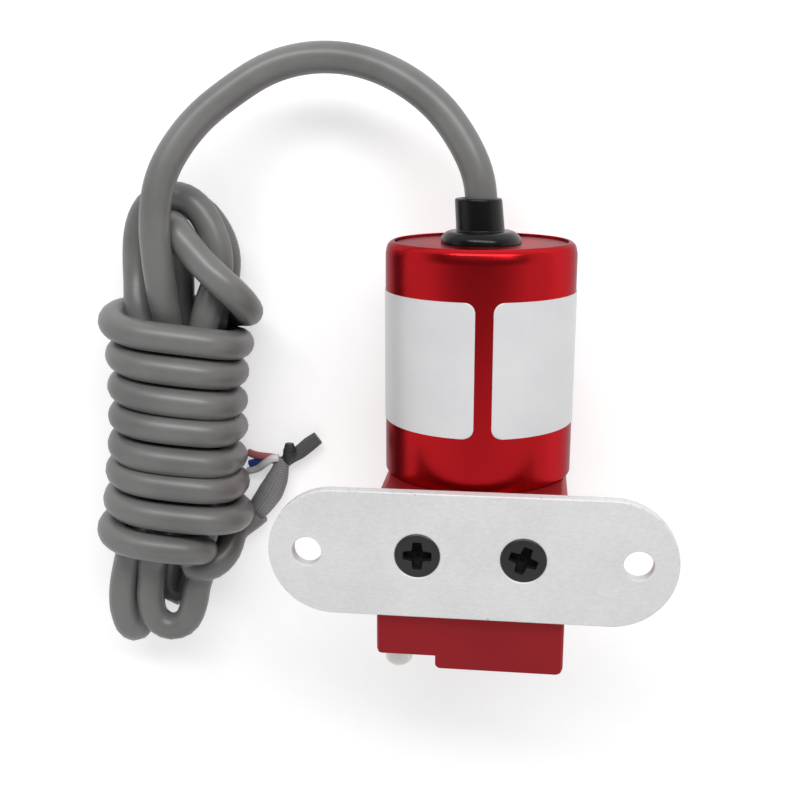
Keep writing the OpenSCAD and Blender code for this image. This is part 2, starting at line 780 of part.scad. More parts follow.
// Terminal block at the board's outer end, then two trimmers and a chip, and one chip on its back
module board_parts() {
    face = can_z + board_t / 2;
    back = can_z - board_t / 2;
    y0 = can_y + can_floor + carrier_t + 1;
    terminal_w = board_w * 0.64;
    terminal_t = 5;
    trimmer_w = 4;
    chip_t = 1.4;
    color([0.1, 0.35, 0.55]) translate([-terminal_w / 2, board_y + board_l - 2 * terminal_t, face])
        cube([terminal_w, terminal_t, terminal_t]);
    color([0.1, 0.25, 0.7]) for (side = [-1, 1])
        translate([side * trimmer_w - trimmer_w / 2, y0 + 1.5 * trimmer_w, face])
            cube([trimmer_w, trimmer_w, trimmer_w * 0.8]);
    color([0.1, 0.1, 0.1]) translate([-trimmer_w * 0.75, y0, face])
        cube([trimmer_w * 1.5, trimmer_w, chip_t]);
    color([0.1, 0.1, 0.1]) translate([-trimmer_w, y0 + 2 * trimmer_w, back - chip_t])
        cube([2 * trimmer_w, terminal_t, chip_t]);
}

// ---- Cable ---------------------------------------------------------------------------------

// The length of cable that the gland holds
module cable_entry() {
    foot = lid_y - lid_t - lip_t - cable_inside;
    color(jacket) along_y([0, foot, can_z]) cylinder(d = cable_d, h = mouth_y - foot);
}

// From the gland's mouth, in a sagging arc, to the top of the hank
module cable_run() {
    color(jacket) tube(concat([[0, mouth_y, can_z]], run_route), cable_d, 10);
}

// The hank: loops of cable bound by turns of its own end
module cable_hank() {
    color(jacket) linear_extrude(hank_t) for (k = [0:len(hank_loops) - 2])
        hull() for (c = [hank_loops[k], hank_loops[k + 1]]) translate([c[0], c[1]]) circle(c[2], $fn = 32);
}

module cable_tail() {
    color(jacket) tube(tail_route, cable_d, 10);
}

module cable_braid() {
    color([0.4, 0.4, 0.41]) tube(braid_route, braid_d, 10);
}

module core_blue() {
    color([0.1, 0.2, 0.55]) tube(blue_route, core_d, 8);
}

module core_red() {
    color([0.7, 0.15, 0.15]) tube(red_route, core_d, 8);
}

module core_pale() {
    color([0.85, 0.85, 0.83]) tube(pale_route, core_d, 8);
}

module braid_pigtail() {
    color([0.4, 0.4, 0.41]) tube(pigtail_route, pigtail_d, 8);
}

housing_block();
back_cover();
cover_gasket();
cover_screws();
mounting_plate();
plate_screws();
electronics_can();
can_screws();
can_lid();
lid_seal();
label_left();
label_right();
cable_gland();
wire_outlet_bush();
wire_drum();
wound_wire();
draw_wire();
wire_end_fitting();
drum_shaft();
front_bearing_outer();
front_bearing_inner();
rear_bearing_outer();
rear_bearing_inner();
bearing_balls();
bearing_bridge();
spring_arbor();
power_spring();
magnet_holder();
sensor_magnet();
sensor_board();
sensor_chip();
spacer_ring();
sensor_leads();
board_carrier();
circuit_board();
board_parts();
cable_entry();
cable_run();
cable_hank();
cable_tail();
cable_braid();
core_blue();
core_red();
core_pale();
braid_pigtail();
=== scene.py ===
"""Looks of a draw wire encoder: every visible piece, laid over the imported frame.

Lengths in the source are millimetres and are turned to metres by MM where a mesh is made.
The frame has X to the right, Y up the can, and Z away from the surface that the part lies on.
"""
import logging
import math
from dataclasses import dataclass
from enum import Enum
from typing import Any, Iterable, Optional, Sequence, Union

import bmesh
import bpy
import numpy as np
from mathutils import Matrix, Vector


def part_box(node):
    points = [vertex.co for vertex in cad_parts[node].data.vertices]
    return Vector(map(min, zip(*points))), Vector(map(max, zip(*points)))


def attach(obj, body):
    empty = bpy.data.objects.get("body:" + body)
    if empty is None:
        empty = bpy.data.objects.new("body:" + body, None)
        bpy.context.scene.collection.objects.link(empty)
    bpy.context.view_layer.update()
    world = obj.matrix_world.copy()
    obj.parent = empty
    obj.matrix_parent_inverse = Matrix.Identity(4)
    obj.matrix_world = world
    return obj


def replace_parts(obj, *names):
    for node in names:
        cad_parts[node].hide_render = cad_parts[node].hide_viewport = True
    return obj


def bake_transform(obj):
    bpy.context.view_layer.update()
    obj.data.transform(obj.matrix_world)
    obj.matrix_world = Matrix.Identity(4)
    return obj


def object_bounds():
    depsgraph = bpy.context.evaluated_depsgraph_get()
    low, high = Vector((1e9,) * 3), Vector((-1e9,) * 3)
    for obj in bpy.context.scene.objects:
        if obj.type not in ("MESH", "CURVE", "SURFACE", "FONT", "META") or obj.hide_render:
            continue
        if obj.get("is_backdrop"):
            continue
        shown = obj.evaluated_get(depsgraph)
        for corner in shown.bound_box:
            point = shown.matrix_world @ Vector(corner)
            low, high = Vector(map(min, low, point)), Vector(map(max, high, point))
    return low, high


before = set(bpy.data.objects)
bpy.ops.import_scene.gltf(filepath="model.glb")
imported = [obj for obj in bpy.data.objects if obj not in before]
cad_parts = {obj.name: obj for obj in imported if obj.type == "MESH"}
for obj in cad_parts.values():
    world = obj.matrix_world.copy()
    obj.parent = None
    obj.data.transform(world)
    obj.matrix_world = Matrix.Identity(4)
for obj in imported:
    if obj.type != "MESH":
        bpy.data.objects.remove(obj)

LOG = logging.getLogger("draw_wire_encoder")
MM = 0.001
Points = np.ndarray


def unit(v: Points) -> Points:
    """Vectors scaled to length 1.

    Args:
        v: vectors along the last axis.

    Returns:
        The same directions with length 1.
    """
    return v / np.maximum(np.linalg.norm(v, axis=-1, keepdims=True), 1e-12)


def smoothstep(low: float, high: float, v: Points) -> Points:
    """A smooth ramp from 0 at low to 1 at high, t * t * (3 - 2 * t).

    Args:
        low: where the ramp starts.
        high: where it ends.
        v: the values.

    Returns:
        Values from 0 to 1.
    """
    t = np.clip((v - low) / (high - low), 0, 1)
    return t * t * (3 - 2 * t)


def distances(points: Points) -> Points:
    """How far along the line each of its points lies, from 0 at the first."""
    return np.concatenate([[0], np.cumsum(np.linalg.norm(np.diff(points, axis=0), axis=1))])


def squared(t: Points, exponent: float) -> tuple[Points, ...]:
    """sgn(cos t)|cos t|^e and sgn(sin t)|sin t|^e, a circle that the exponent e squares."""
    return tuple(np.sign(f(t)) * np.abs(f(t)) ** exponent for f in (np.cos, np.sin))


def extent(box: Iterable[Vector]) -> tuple[Points, Points, Points]:
    """The lowest, highest and middle point of a box, turned from metres to millimetres."""
    low, high = (np.array(corner) / MM for corner in box)
    return low, high, (low + high) / 2


# ---------------------------------------------------------------- meshes


def linked(name: str, data: bpy.types.ID) -> bpy.types.Object:
    """A new object of the scene.

    Args:
        name: the object's name.
        data: the mesh, curve, camera or light that it shows.

    Returns:
        The object.
    """
    thing = bpy.data.objects.new(name, data)
    bpy.context.scene.collection.objects.link(thing)
    return thing


def mesh_piece(name: str, points: Points, faces: Points, sharp: float = 40.0,
               uv: Optional[Points] = None) -> bpy.types.Object:
    """A mesh object from points and faces, merged at its poles, with its normals outward.

    Args:
        name: the object's name.
        points: (n, 3) points in millimetres.
        faces: (m, 4) indices.
        sharp: angle in degrees above which an edge stays sharp.
        uv: (n, 2) coordinates of the points, if the finish needs them.

    Returns:
        The object, at the origin.
    """
    data = bpy.data.meshes.new(name)
    data.from_pydata(points.reshape(-1, 3) * MM, [], faces.tolist())
    if uv is not None:
        layer = data.uv_layers.new(name="Wrap")
        corners = np.zeros(len(data.loops), np.int32)
        data.loops.foreach_get("vertex_index", corners)
        layer.data.foreach_set("uv", uv.reshape(-1, 2)[corners].astype(np.float32).ravel())
    work = bmesh.new()
    work.from_mesh(data)
    bmesh.ops.remove_doubles(work, verts=work.verts, dist=1e-7)
    bmesh.ops.dissolve_degenerate(work, edges=work.edges, dist=1e-8)
    bmesh.ops.recalc_face_normals(work, faces=work.faces)
    work.to_mesh(data)
    work.free()
    data.shade_smooth()
    data.set_sharp_from_angle(angle=math.radians(sharp))
    return linked(name, data)


def grid_faces(rows: int, columns: int, around: bool) -> Points:
    """Faces of a grid of points, row by row.

    Args:
        rows: number of rows.
        columns: number of points in a row.
        around: whether the last column joins the first.

    Returns:
        (m, 4) indices.
    """
    i, j = np.meshgrid(np.arange(rows - 1), np.arange(columns if around else columns - 1),
                       indexing="ij")
    k = (j + 1) % columns
    return np.stack([i * columns + j, i * columns + k, (i + 1) * columns + k,
                     (i + 1) * columns + j], -1).reshape(-1, 4)


def soften(corners: Sequence[Sequence[float]], radii: Union[float, Sequence[float]],
           steps: int = 6) -> Points:
    """An open outline whose inner corners are rounded by parabolas that leave at the radius.

    Each corner c between p and q becomes (1-s)^2 a + 2 s (1-s) c + s^2 b, where a and b lie
    at the radius from c towards p and q.

    Args:
        corners: (n, 2) corner points.
        radii: one radius, or one for each inner corner.
        steps: segments in each rounding.

    Returns:
        The rounded outline.
    """
    c = np.array(corners, float)
    r = np.broadcast_to(np.asarray(radii, float), (len(c) - 2,))[:, None]
    before, after = c[:-2] - c[1:-1], c[2:] - c[1:-1]
    reach = np.minimum(r, 0.48 * np.minimum(np.linalg.norm(before, axis=1),
                                            np.linalg.norm(after, axis=1))[:, None])
    a, b = c[1:-1] + unit(before) * reach, c[1:-1] + unit(after) * reach
    s = np.linspace(0, 1, steps + 1)[None, :, None]
    arcs = (1 - s) ** 2 * a[:, None] + 2 * s * (1 - s) * c[1:-1, None] + s ** 2 * b[:, None]
    return np.vstack([c[:1], arcs.reshape(-1, 2), c[-1:]])


def lathe(name: str, profile: Points, centre: Sequence[float], turns: int = 144,
          lean: float = 0.0, sharp: float = 40.0) -> bpy.types.Object:
    """A body turned about a line along Y.

    A profile point (r, h) becomes (r cos t + lean h, h, r sin t) about the centre.

    Args:
        name: the object's name.
        profile: (n, 2) radius and height along Y, in millimetres.
        centre: the point on the axis at height 0.
        turns: points around the axis.
        lean: sideways shift in X for each millimetre above height 0.
        sharp: angle in degrees above which an edge stays sharp.

    Returns:
        The object.
    """
    t = np.linspace(0, 2 * math.pi, turns, endpoint=False)
    r, h = profile[:, :1], profile[:, 1:]
    shift = lean * np.maximum(h, 0)
    points = np.stack([r * np.cos(t) + shift, h + 0 * t, r * np.sin(t)], -1) + np.array(centre)
    uv = np.stack([0 * r + t / (2 * math.pi), h + 0 * t], -1)
    return mesh_piece(name, points, grid_faces(len(profile), turns, True), sharp, uv)


def sweep(name: str, path: Points, widths: Points, heights: Points, sides: int = 28,
          square: float = 1.0) -> bpy.types.Object:
    """A closed body with oval sections along a path that stays near level.

    A section point is centre + side w sgn(cos t)|cos t|^e + up h sgn(sin t)|sin t|^e, where
    side is level and e squares the oval. Both ends close to a point.

    Args:
        name: the object's name.
        path: (n, 3) centre points.
        widths: half width at each point.
        heights: half height at each point.
        sides: points around a section.
        square: the exponent e, 1 for an oval.

    Returns:
        The object.
    """
    along = unit(np.gradient(path, axis=0))
    side = unit(np.cross(along, [0, 0, 1.0]))
    up = np.cross(side, along)
    t = np.linspace(0, 2 * math.pi, sides, endpoint=False)
    c, s = squared(t, square)
    body = (path[:, None] + side[:, None] * (widths[:, None] * c)[..., None]
            + up[:, None] * (heights[:, None] * s)[..., None])
    ends = [np.repeat(path[k][None, None], sides, 1) for k in (0, -1)]
    run = distances(path)
    run = np.concatenate([run[:1], run, run[-1:]])
    points = np.concatenate([ends[0], body, ends[1]])
    uv = np.stack(np.broadcast_arrays(t / (2 * math.pi), run[:, None]), -1)
    return mesh_piece(name, points, grid_faces(len(points), sides, True), 50, uv)


def spline(points: Points, count: int = 12) -> Points:
    """A centripetal Catmull-Rom curve through the points.

    Args:
        points: (n, 3) points that the curve passes through.
        count: steps between two neighbours.

    Returns:
        The points on the curve.
    """
    q = np.vstack([2 * points[0] - points[1], points, 2 * points[-1] - points[-2]])
    knots = np.concatenate([[0], np.cumsum(np.sqrt(np.linalg.norm(np.diff(q, axis=0), axis=1)))])
    t0, t1, t2, t3 = (knots[k:len(q) - 3 + k, None, None] for k in range(4))
    p0, p1, p2, p3 = (q[k:len(q) - 3 + k, None] for k in range(4))
    t = t1 + (t2 - t1) * np.linspace(0, 1, count, endpoint=False)[None, :, None]
    a1 = (t1 - t) / (t1 - t0) * p0 + (t - t0) / (t1 - t0) * p1
    a2 = (t2 - t) / (t2 - t1) * p1 + (t - t1) / (t2 - t1) * p2
    a3 = (t3 - t) / (t3 - t2) * p2 + (t - t2) / (t3 - t2) * p3
    b1 = (t2 - t) / (t2 - t0) * a1 + (t - t0) / (t2 - t0) * a2
    b2 = (t3 - t) / (t3 - t1) * a2 + (t - t1) / (t3 - t1) * a3
    curve = (t2 - t) / (t2 - t1) * b1 + (t - t1) / (t2 - t1) * b2
    return np.vstack([curve.reshape(-1, 3), points[-1:]])


def even(points: Points, step: float) -> Points:
    """The same line with its points a fixed step apart.

    Args:
        points: (n, 3) points.
        step: the distance between neighbours.

    Returns:
        The evenly spaced points.
    """
    run = distances(points)
    at = np.linspace(0, run[-1], int(round(run[-1] / step)) + 1)
    return np.stack([np.interp(at, run, points[:, k]) for k in range(3)], 1)


def softened_copy(node: str, width: float) -> bpy.types.Object:
    """A merged copy of a CAD node with small bevels on its edges, in place of the node.

    Args:
        node: the CAD node's name.
        width: the bevel's width in millimetres.

    Returns:
        The copy.
    """
    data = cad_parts[node].data.copy()
    work = bmesh.new()
    work.from_mesh(data)
    bmesh.ops.remove_doubles(work, verts=work.verts, dist=2e-6)
    bmesh.ops.dissolve_limit(work, angle_limit=math.radians(0.6), verts=work.verts,
                             edges=work.edges)
    work.to_mesh(data)
    work.free()
    data.materials.clear()
    data.shade_smooth()
    piece = linked(node + "_soft", data)
    bevel = piece.modifiers.new("Edges", "BEVEL")
    bevel.width = width * MM
    bevel.segments = 2
    bevel.limit_method = "ANGLE"
    bevel.angle_limit = math.radians(32)
    weights = piece.modifiers.new("Flat faces", "WEIGHTED_NORMAL")
    weights.keep_sharp = True
    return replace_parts(piece, node)


# ---------------------------------------------------------------- finishes


Input = Union["Port", float, Sequence[float]]


class Port:
    """A shader socket that takes part in arithmetic, one Math node for each sign."""

    def __init__(self, graph: "Graph", socket: bpy.types.NodeSocket) -> None:
        """Wraps a socket.

        Args:
            graph: the graph it belongs to.
            socket: the output socket.
        """
        self.graph, self.socket = graph, socket

    def maths(self, operation: str, *others: Input, swap: bool = False) -> "Port":
        """A Math node on this value.

        Args:
            operation: the node's operation.
            others: the other operands.
            swap: whether this value comes second.

        Returns:
            The result.
        """
        operands = [self, *others]
        if swap:
            operands.reverse()
        return self.graph.add("ShaderNodeMath", {"operation": operation},
                              dict(enumerate(operands)))

    def __add__(self, other: Input) -> "Port":
        """This value plus another."""
        return self.maths("ADD", other)

    __radd__ = __add__

    def __mul__(self, other: Input) -> "Port":
        """This value times another."""
        return self.maths("MULTIPLY", other)

    __rmul__ = __mul__

    def __sub__(self, other: Input) -> "Port":
        """This value less another."""
        return self.maths("SUBTRACT", other)

    def __rsub__(self, other: Input) -> "Port":
        """Another value less this one."""
        return self.maths("SUBTRACT", other, swap=True)

    def ramp(self, low: float, high: float) -> "Port":
        """A smooth ramp of this value, 0 at low and 1 at high."""
        return self.graph.add("ShaderNodeMapRange", {"interpolation_type": "SMOOTHSTEP"},
                              {0: self, 1: low, 2: high})


class Graph:
    """The nodes of one material or world."""

    def __init__(self, owner: Union[bpy.types.Material, bpy.types.World]) -> None:
        """Starts without nodes.

        Args:
            owner: the material or world.
        """
        self.owner = owner
        owner.use_nodes = True
        self.tree = owner.node_tree
        self.tree.nodes.clear()

    def add(self, kind: str, settings: Optional[dict[str, Any]] = None,
            inputs: Optional[dict[Union[int, str], Input]] = None,
            out: Union[int, str] = 0) -> Port:
        """Adds one node.

        Args:
            kind: the node's type.
            settings: its properties.
            inputs: values or ports by input name or number.
            out: the number or name of the output that is returned.

        Returns:
            That output.
        """
        node = self.tree.nodes.new(kind)
        for key, value in (settings or {}).items():
            setattr(node, key, value)
        for key, value in (inputs or {}).items():
            if isinstance(value, Port):
                self.tree.links.new(value.socket, node.inputs[key])
            else:
                node.inputs[key].default_value = value
        return Port(self, node.outputs[out] if node.outputs else None)

    def place(self) -> Port:
        """The point on the object, in metres."""
        return self.add("ShaderNodeTexCoord", out="Object")

    def wrap(self) -> Port:
        """The piece's own coordinates around and along it."""
        return self.add("ShaderNodeTexCoord", out="UV")

    def seen(self) -> Port:
        """1 to the camera, in a reflection and through glass, and 0 for the light it gives."""
        camera, glossy, clear = (
            self.add("ShaderNodeLightPath", out=f"Is {ray} Ray")
            for ray in ("Camera", "Glossy", "Transmission"))
        return (camera + glossy + clear).ramp(0, 1)

    def axes(self, vector: Port) -> tuple[Port, Port, Port]:
        """The three parts of a vector."""
        first = self.add("ShaderNodeSeparateXYZ", None, {0: vector})
        node = first.socket.node
        return first, Port(self, node.outputs[1]), Port(self, node.outputs[2])

    def noise(self, where: Port, scale: float, stretch: Sequence[float] = (1, 1, 1),
              detail: float = 3.0) -> Port:
        """Noise from 0 to 1, with stretch times scale waves to a metre along each axis."""
        spread = self.add("ShaderNodeVectorMath", {"operation": "MULTIPLY"},
                          {0: where, 1: tuple(scale * s for s in stretch)})
        return self.add("ShaderNodeTexNoise", None,
                        {"Vector": spread, "Scale": 1.0, "Detail": detail})

    def blend(self, share: Input, a: Input, b: Input) -> Port:
        """The colour a where share is 0 and b where it is 1."""
        return self.add("ShaderNodeMix", {"data_type": "RGBA"}, {0: share, 6: a, 7: b}, 2)

    def bump(self, height: Port, depth: float, after: Optional[Port] = None) -> Port:
        """A normal from a height of 0 to 1, depth millimetres deep."""
        inputs: dict[Union[int, str], Input] = {"Height": height, "Distance": depth * MM,
                                                "Strength": 1.0}
        if after is not None:
            inputs["Normal"] = after
        return self.add("ShaderNodeBump", None, inputs)

    def finish(self, **inputs: Input) -> bpy.types.Material:
        """Ends a material's graph in a Principled shader.

        Args:
            inputs: the shader's inputs, with _ for each space.

        Returns:
            The material.
        """
        shader = self.add("ShaderNodeBsdfPrincipled", None,
                          {key.replace("_", " "): value for key, value in inputs.items()})
        self.add("ShaderNodeOutputMaterial", None, {0: shader})
        return self.owner


class Pattern(Enum):
    """What a finish has on its surface."""

    GRAIN = "fine grain"
    TURNED = "turning lines around the axis of the can"
    BRUSHED = "brushed lines along the plate, with nicked edges"
    MOULDED = "moulded plastic or rubber"
    WOVEN = "fine wires laid crosswise"
    # the lid's darkening toward its rim is painted shade, where the rim's lip shades the recessed
    # lid
    FACED_WITH_PAINTED_SHADE = "turning lines on the lid, darker toward its rim"
    # the screw heads' darkening below the plate's face is painted shade in the cross recess
    RECESSED_WITH_PAINTED_SHADE = "fine grain, darker below the face of the plate"


@dataclass(frozen=True)
class Finish:
    """A finish of the part, from which its material is made.

    Attributes:
        name: its name.
        slot: the record's material slot.
        colour: its linear colour.
        accent: the colour it drifts to in patches.
        roughness: its mean roughness.
        metallic: 1 for a metal.
        pattern: what is on its surface.
        scale: grains to a metre.
        depth: depth of the pattern in millimetres.
        drift: how far roughness varies.
        coat: weight of its clear coat.
        shine: level of its reflections, 0.5 for a usual plastic.
        edge: tint of a metal's reflection at a flat angle.
    """

    name: str
    slot: str
    colour: tuple[float, float, float]
    accent: tuple[float, float, float]
    roughness: float
    metallic: float = 0.0
    pattern: Pattern = Pattern.GRAIN
    scale: float = 2500.0
    depth: float = 0.004
    drift: float = 0.06
    coat: float = 0.0
    shine: float = 0.5
    edge: tuple[float, float, float] = (1.0, 1.0, 1.0)

    def material(self) -> bpy.types.Material:
        """The finish as a material.

        Returns:
            The material.
        """
        g = Graph(bpy.data.materials.new(self.name))
        at = g.place()
        patches = g.noise(at, 90.0, detail=4.0)
        share = patches.ramp(0.35, 0.7)
        rough = (patches - 0.5) * self.drift * 2 + self.roughness
        height = g.noise(at, self.scale, detail=2.0)
        colour = g.blend(share, (*self.colour, 1), (*self.accent, 1))
        if self.pattern is Pattern.TURNED:
            height = height * 0.6 + g.noise(at, 900.0, (0.05, 6.0, 0.05), 2.0) * 0.8
        elif self.pattern is Pattern.MOULDED:
            height = height * 0.5 + g.noise(at, 350.0, detail=3.0) * 0.8
        elif self.pattern is Pattern.WOVEN:
            around, along, _ = g.axes(g.wrap())
            twist, lay = around * (2 * math.pi * 14), along * 7
            height = ((twist + lay).maths("SINE") * (twist - lay).maths("SINE") * 0.5
                      + 0.5) + height * 0.5
            colour = g.blend(height.ramp(0.2, 1.1), (*self.accent, 1), (*self.colour, 1))
        elif self.pattern is Pattern.FACED_WITH_PAINTED_SHADE:
            low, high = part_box("can_lid")
            x, _, z = g.axes(at)
            away_x, away_z = x - (low.x + high.x) / 2, z - (low.z + high.z) / 2
            radius = (away_x * away_x + away_z * away_z).maths("SQRT")
            rim = radius.ramp((high.x - low.x) * 0.24, (high.x - low.x) * 0.5)
            # painted shade: the lid's colour is blended toward near black toward its rim
            colour = g.blend(rim * 0.62, colour, (0.02, 0.001, 0.002, 1))
            height = height * 0.6 + (radius * 9000.0).maths("SINE") * 0.2
        elif self.pattern is Pattern.RECESSED_WITH_PAINTED_SHADE:
            _, _, z = g.axes(at)
            depth = (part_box("mounting_plate")[1].z - z).ramp(0.0002, 0.0014)
            # painted shade: colour blended toward near black below the plate's face, in the cross
            # recess
            colour = g.blend(depth, colour, (0.002, 0.002, 0.002, 1))
            rough = rough + depth * 0.4
        elif self.pattern is Pattern.BRUSHED:
            return self._brushed(g, at, share, rough)
        return g.finish(Base_Color=colour, Roughness=rough, Metallic=self.metallic,
                        Coat_Weight=self.coat, Coat_Roughness=0.3,
                        Specular_IOR_Level=self.shine, Specular_Tint=(*self.edge, 1),
                        Normal=g.bump(height, self.depth))

    def _brushed(self, g: Graph, at: Port, share: Port, rough: Port) -> bpy.types.Material:
        """Brushed lines along X, and nicks within half a millimetre of the plate's outline.

        The distance from the outline is sqrt(max(|x| - s, 0)^2 + (y - c)^2) - r, for a plate
        with straight sides 2 s long and round ends of radius r.

        Args:
            g: the material's graph.
            at: the point on the object.
            share: the patches, from 0 to 1.
            rough: the roughness before the lines.

        Returns:
            The material.
        """
        low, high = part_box("mounting_plate")
        radius = (high.y - low.y) / 2
        straight = (high.x - low.x) / 2 - radius
        x, y, _ = g.axes(at)
        over = (x.maths("ABSOLUTE") - straight).maths("MAXIMUM", 0.0)
        rise = y - (high.y + low.y) / 2
        inside = radius - (over * over + rise * rise).maths("SQRT")
        lines = g.noise(at, 4200.0, (0.03, 1, 1), 3.0)
        bars = g.noise(at, 420.0, (0.06, 1, 1), 2.0)
        chips = g.noise(at, 1500.0, detail=2.0)
        edge = 1 - inside.ramp(0.0001, 0.0007)
        nick = chips.ramp(0.62, 0.74) * edge
        pits = g.noise(at, 1100.0, detail=1.0).ramp(0.78, 0.84)
        speck = g.noise(at, 2600.0, (0.55, 1, 1), 2.0).ramp(0.3, 0.7)
        bright = g.blend(share * 0.4 + lines * 0.2 + speck * 0.4, (*self.colour, 1),
                         (*self.accent, 1))
        worn = g.blend((nick * 0.42 + pits * 0.15).maths("MINIMUM", 1.0), bright,
                       (0.16, 0.16, 0.16, 1))
        normal = g.bump(lines * 0.4 + bars * 0.3 + speck * 0.5, self.depth)
        normal = g.bump(1 - (nick + pits * 0.5), 0.05, normal)
        return g.finish(Base_Color=worn, Roughness=rough + lines * 0.08, Metallic=self.metallic,
                        Coat_Weight=self.coat, Coat_Roughness=0.3,
                        Specular_IOR_Level=self.shine, Normal=normal)


class Finishes:
    """Every finish of the part, made once and then shared."""

    ALL = (
        Finish("turned_red", "red_anodised", (0.47, 0.012, 0.0165), (0.44, 0.0115, 0.0155), 0.27,
               1.0, Pattern.TURNED, 3000.0, 0.0012, 0.03, edge=(0.5, 0.56, 0.58)),
        Finish("lid_red", "red_anodised", (0.40, 0.012, 0.016), (0.37, 0.011, 0.015), 0.33,
               1.0, Pattern.FACED_WITH_PAINTED_SHADE, 3000.0, 0.002, 0.03, edge=(0.82, 0.58, 0.6)),
        Finish("blasted_red", "red_anodised", (0.315, 0.0125, 0.019), (0.29, 0.0115, 0.017), 0.45,
               0.7, Pattern.GRAIN, 5200.0, 0.003, 0.04),
        Finish("plate", "plate_aluminium", (0.73, 0.73, 0.73), (0.62, 0.62, 0.62), 0.5, 0.2,
               Pattern.BRUSHED, 4200.0, 0.014, 0.05),
        Finish("screw_head", "black_steel", (0.03, 0.03, 0.031), (0.024, 0.024, 0.025), 0.36,
               0.5, Pattern.RECESSED_WITH_PAINTED_SHADE, depth=0.006),
        Finish("black_steel", "black_steel", (0.035, 0.035, 0.036), (0.022, 0.022, 0.023), 0.36,
               0.6, depth=0.006, coat=0.25),
        Finish("bright_steel", "bright_steel", (0.62, 0.62, 0.61), (0.5, 0.5, 0.5), 0.28, 1.0,
               depth=0.002),
        Finish("plated_fitting", "plated_fitting", (0.62, 0.60, 0.58), (0.5, 0.49, 0.47), 0.34,
               0.9, Pattern.TURNED, 2600.0, 0.004, 0.05),
        Finish("black_rubber", "black_rubber", (0.0025, 0.0025, 0.0028), (0.0035, 0.0035, 0.0038),
               0.26, pattern=Pattern.MOULDED, depth=0.01, drift=0.06, shine=0.25),
        Finish("label_film", "label_film", (0.64, 0.64, 0.65), (0.6, 0.6, 0.615), 0.34,
               pattern=Pattern.MOULDED, depth=0.005, drift=0.04, coat=0.1),
        Finish("brass", "brass", (0.72, 0.48, 0.2), (0.6, 0.38, 0.14), 0.3, 1.0),
        Finish("dark_magnet", "dark_magnet", (0.06, 0.06, 0.065), (0.1, 0.1, 0.1), 0.4, 0.8),
        Finish("green_board", "green_board", (0.01, 0.12, 0.03), (0.01, 0.09, 0.025), 0.35,
               coat=0.4, pattern=Pattern.MOULDED),
        Finish("black_plastic", "black_plastic", (0.02, 0.02, 0.02), (0.03, 0.03, 0.03), 0.45,
               pattern=Pattern.MOULDED, depth=0.01),
        Finish("lead_insulation", "lead_insulation", (0.5, 0.03, 0.02), (0.42, 0.02, 0.02), 0.4,
               pattern=Pattern.MOULDED),
        Finish("grey_jacket", "grey_jacket", (0.158, 0.158, 0.155), (0.12, 0.121, 0.118), 0.37,
               pattern=Pattern.MOULDED, scale=1800.0, depth=0.012, drift=0.08),
        Finish("grey_braid", "grey_braid", (0.25, 0.25, 0.25), (0.15, 0.15, 0.15), 0.5, 0.2,
               Pattern.WOVEN, depth=0.008),
        Finish("dark_braid", "grey_braid", (0.11, 0.112, 0.11), (0.05, 0.052, 0.05), 0.5, 0.2,
               Pattern.WOVEN, depth=0.008),
        Finish("knotted_braid", "grey_braid", (0.035, 0.036, 0.035), (0.02, 0.02, 0.02), 0.5,
               0.2, Pattern.WOVEN, depth=0.008),
        Finish("blue_insulation", "blue_insulation", (0.03, 0.07, 0.30), (0.02, 0.05, 0.24),
               0.4, pattern=Pattern.MOULDED, depth=0.008),
        Finish("red_insulation", "red_insulation", (0.40, 0.13, 0.14), (0.34, 0.10, 0.11),
               0.4, pattern=Pattern.MOULDED, depth=0.008),
        Finish("pale_insulation", "pale_insulation", (0.7, 0.7, 0.68), (0.6, 0.6, 0.58), 0.42,
               pattern=Pattern.MOULDED, depth=0.008),
    )

    def __init__(self) -> None:
        """Makes every material."""
        self.slots = {f.name: f.slot for f in self.ALL}
        self.materials = {f.name: f.material() for f in self.ALL}

    def give(self, piece: bpy.types.Object, name: str) -> bpy.types.Object:
        """Gives a piece its finish.

        Args:
            piece: the piece.
            name: the finish's name.

        Returns:
            The piece.
        """
        piece.data.materials.clear()
        piece.data.materials.append(self.materials[name])
        return piece


# ---------------------------------------------------------------- sub-assemblies


@dataclass
class Assembly:
    """What all sub-assemblies share.

    Attributes:
        finishes: the part's finishes.
        body: the CAD body that its pieces ride on.
    """

    finishes: Finishes
    body: str = "housing"

    def place(self, piece: bpy.types.Object, finish: str, *nodes: str,
              body: Optional[str] = None) -> bpy.types.Object:
        """Finishes a piece, puts it in place of its CAD nodes and lets it ride.

        Args:
            piece: the piece.
            finish: its finish's name.
            nodes: the CAD nodes that it stands for.
            body: its CAD body, if it isn't the assembly's.

        Returns:
            The piece.
        """
        self.finishes.give(piece, finish)
        if nodes:
            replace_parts(piece, *nodes)
        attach(piece, body or self.body)
        return piece


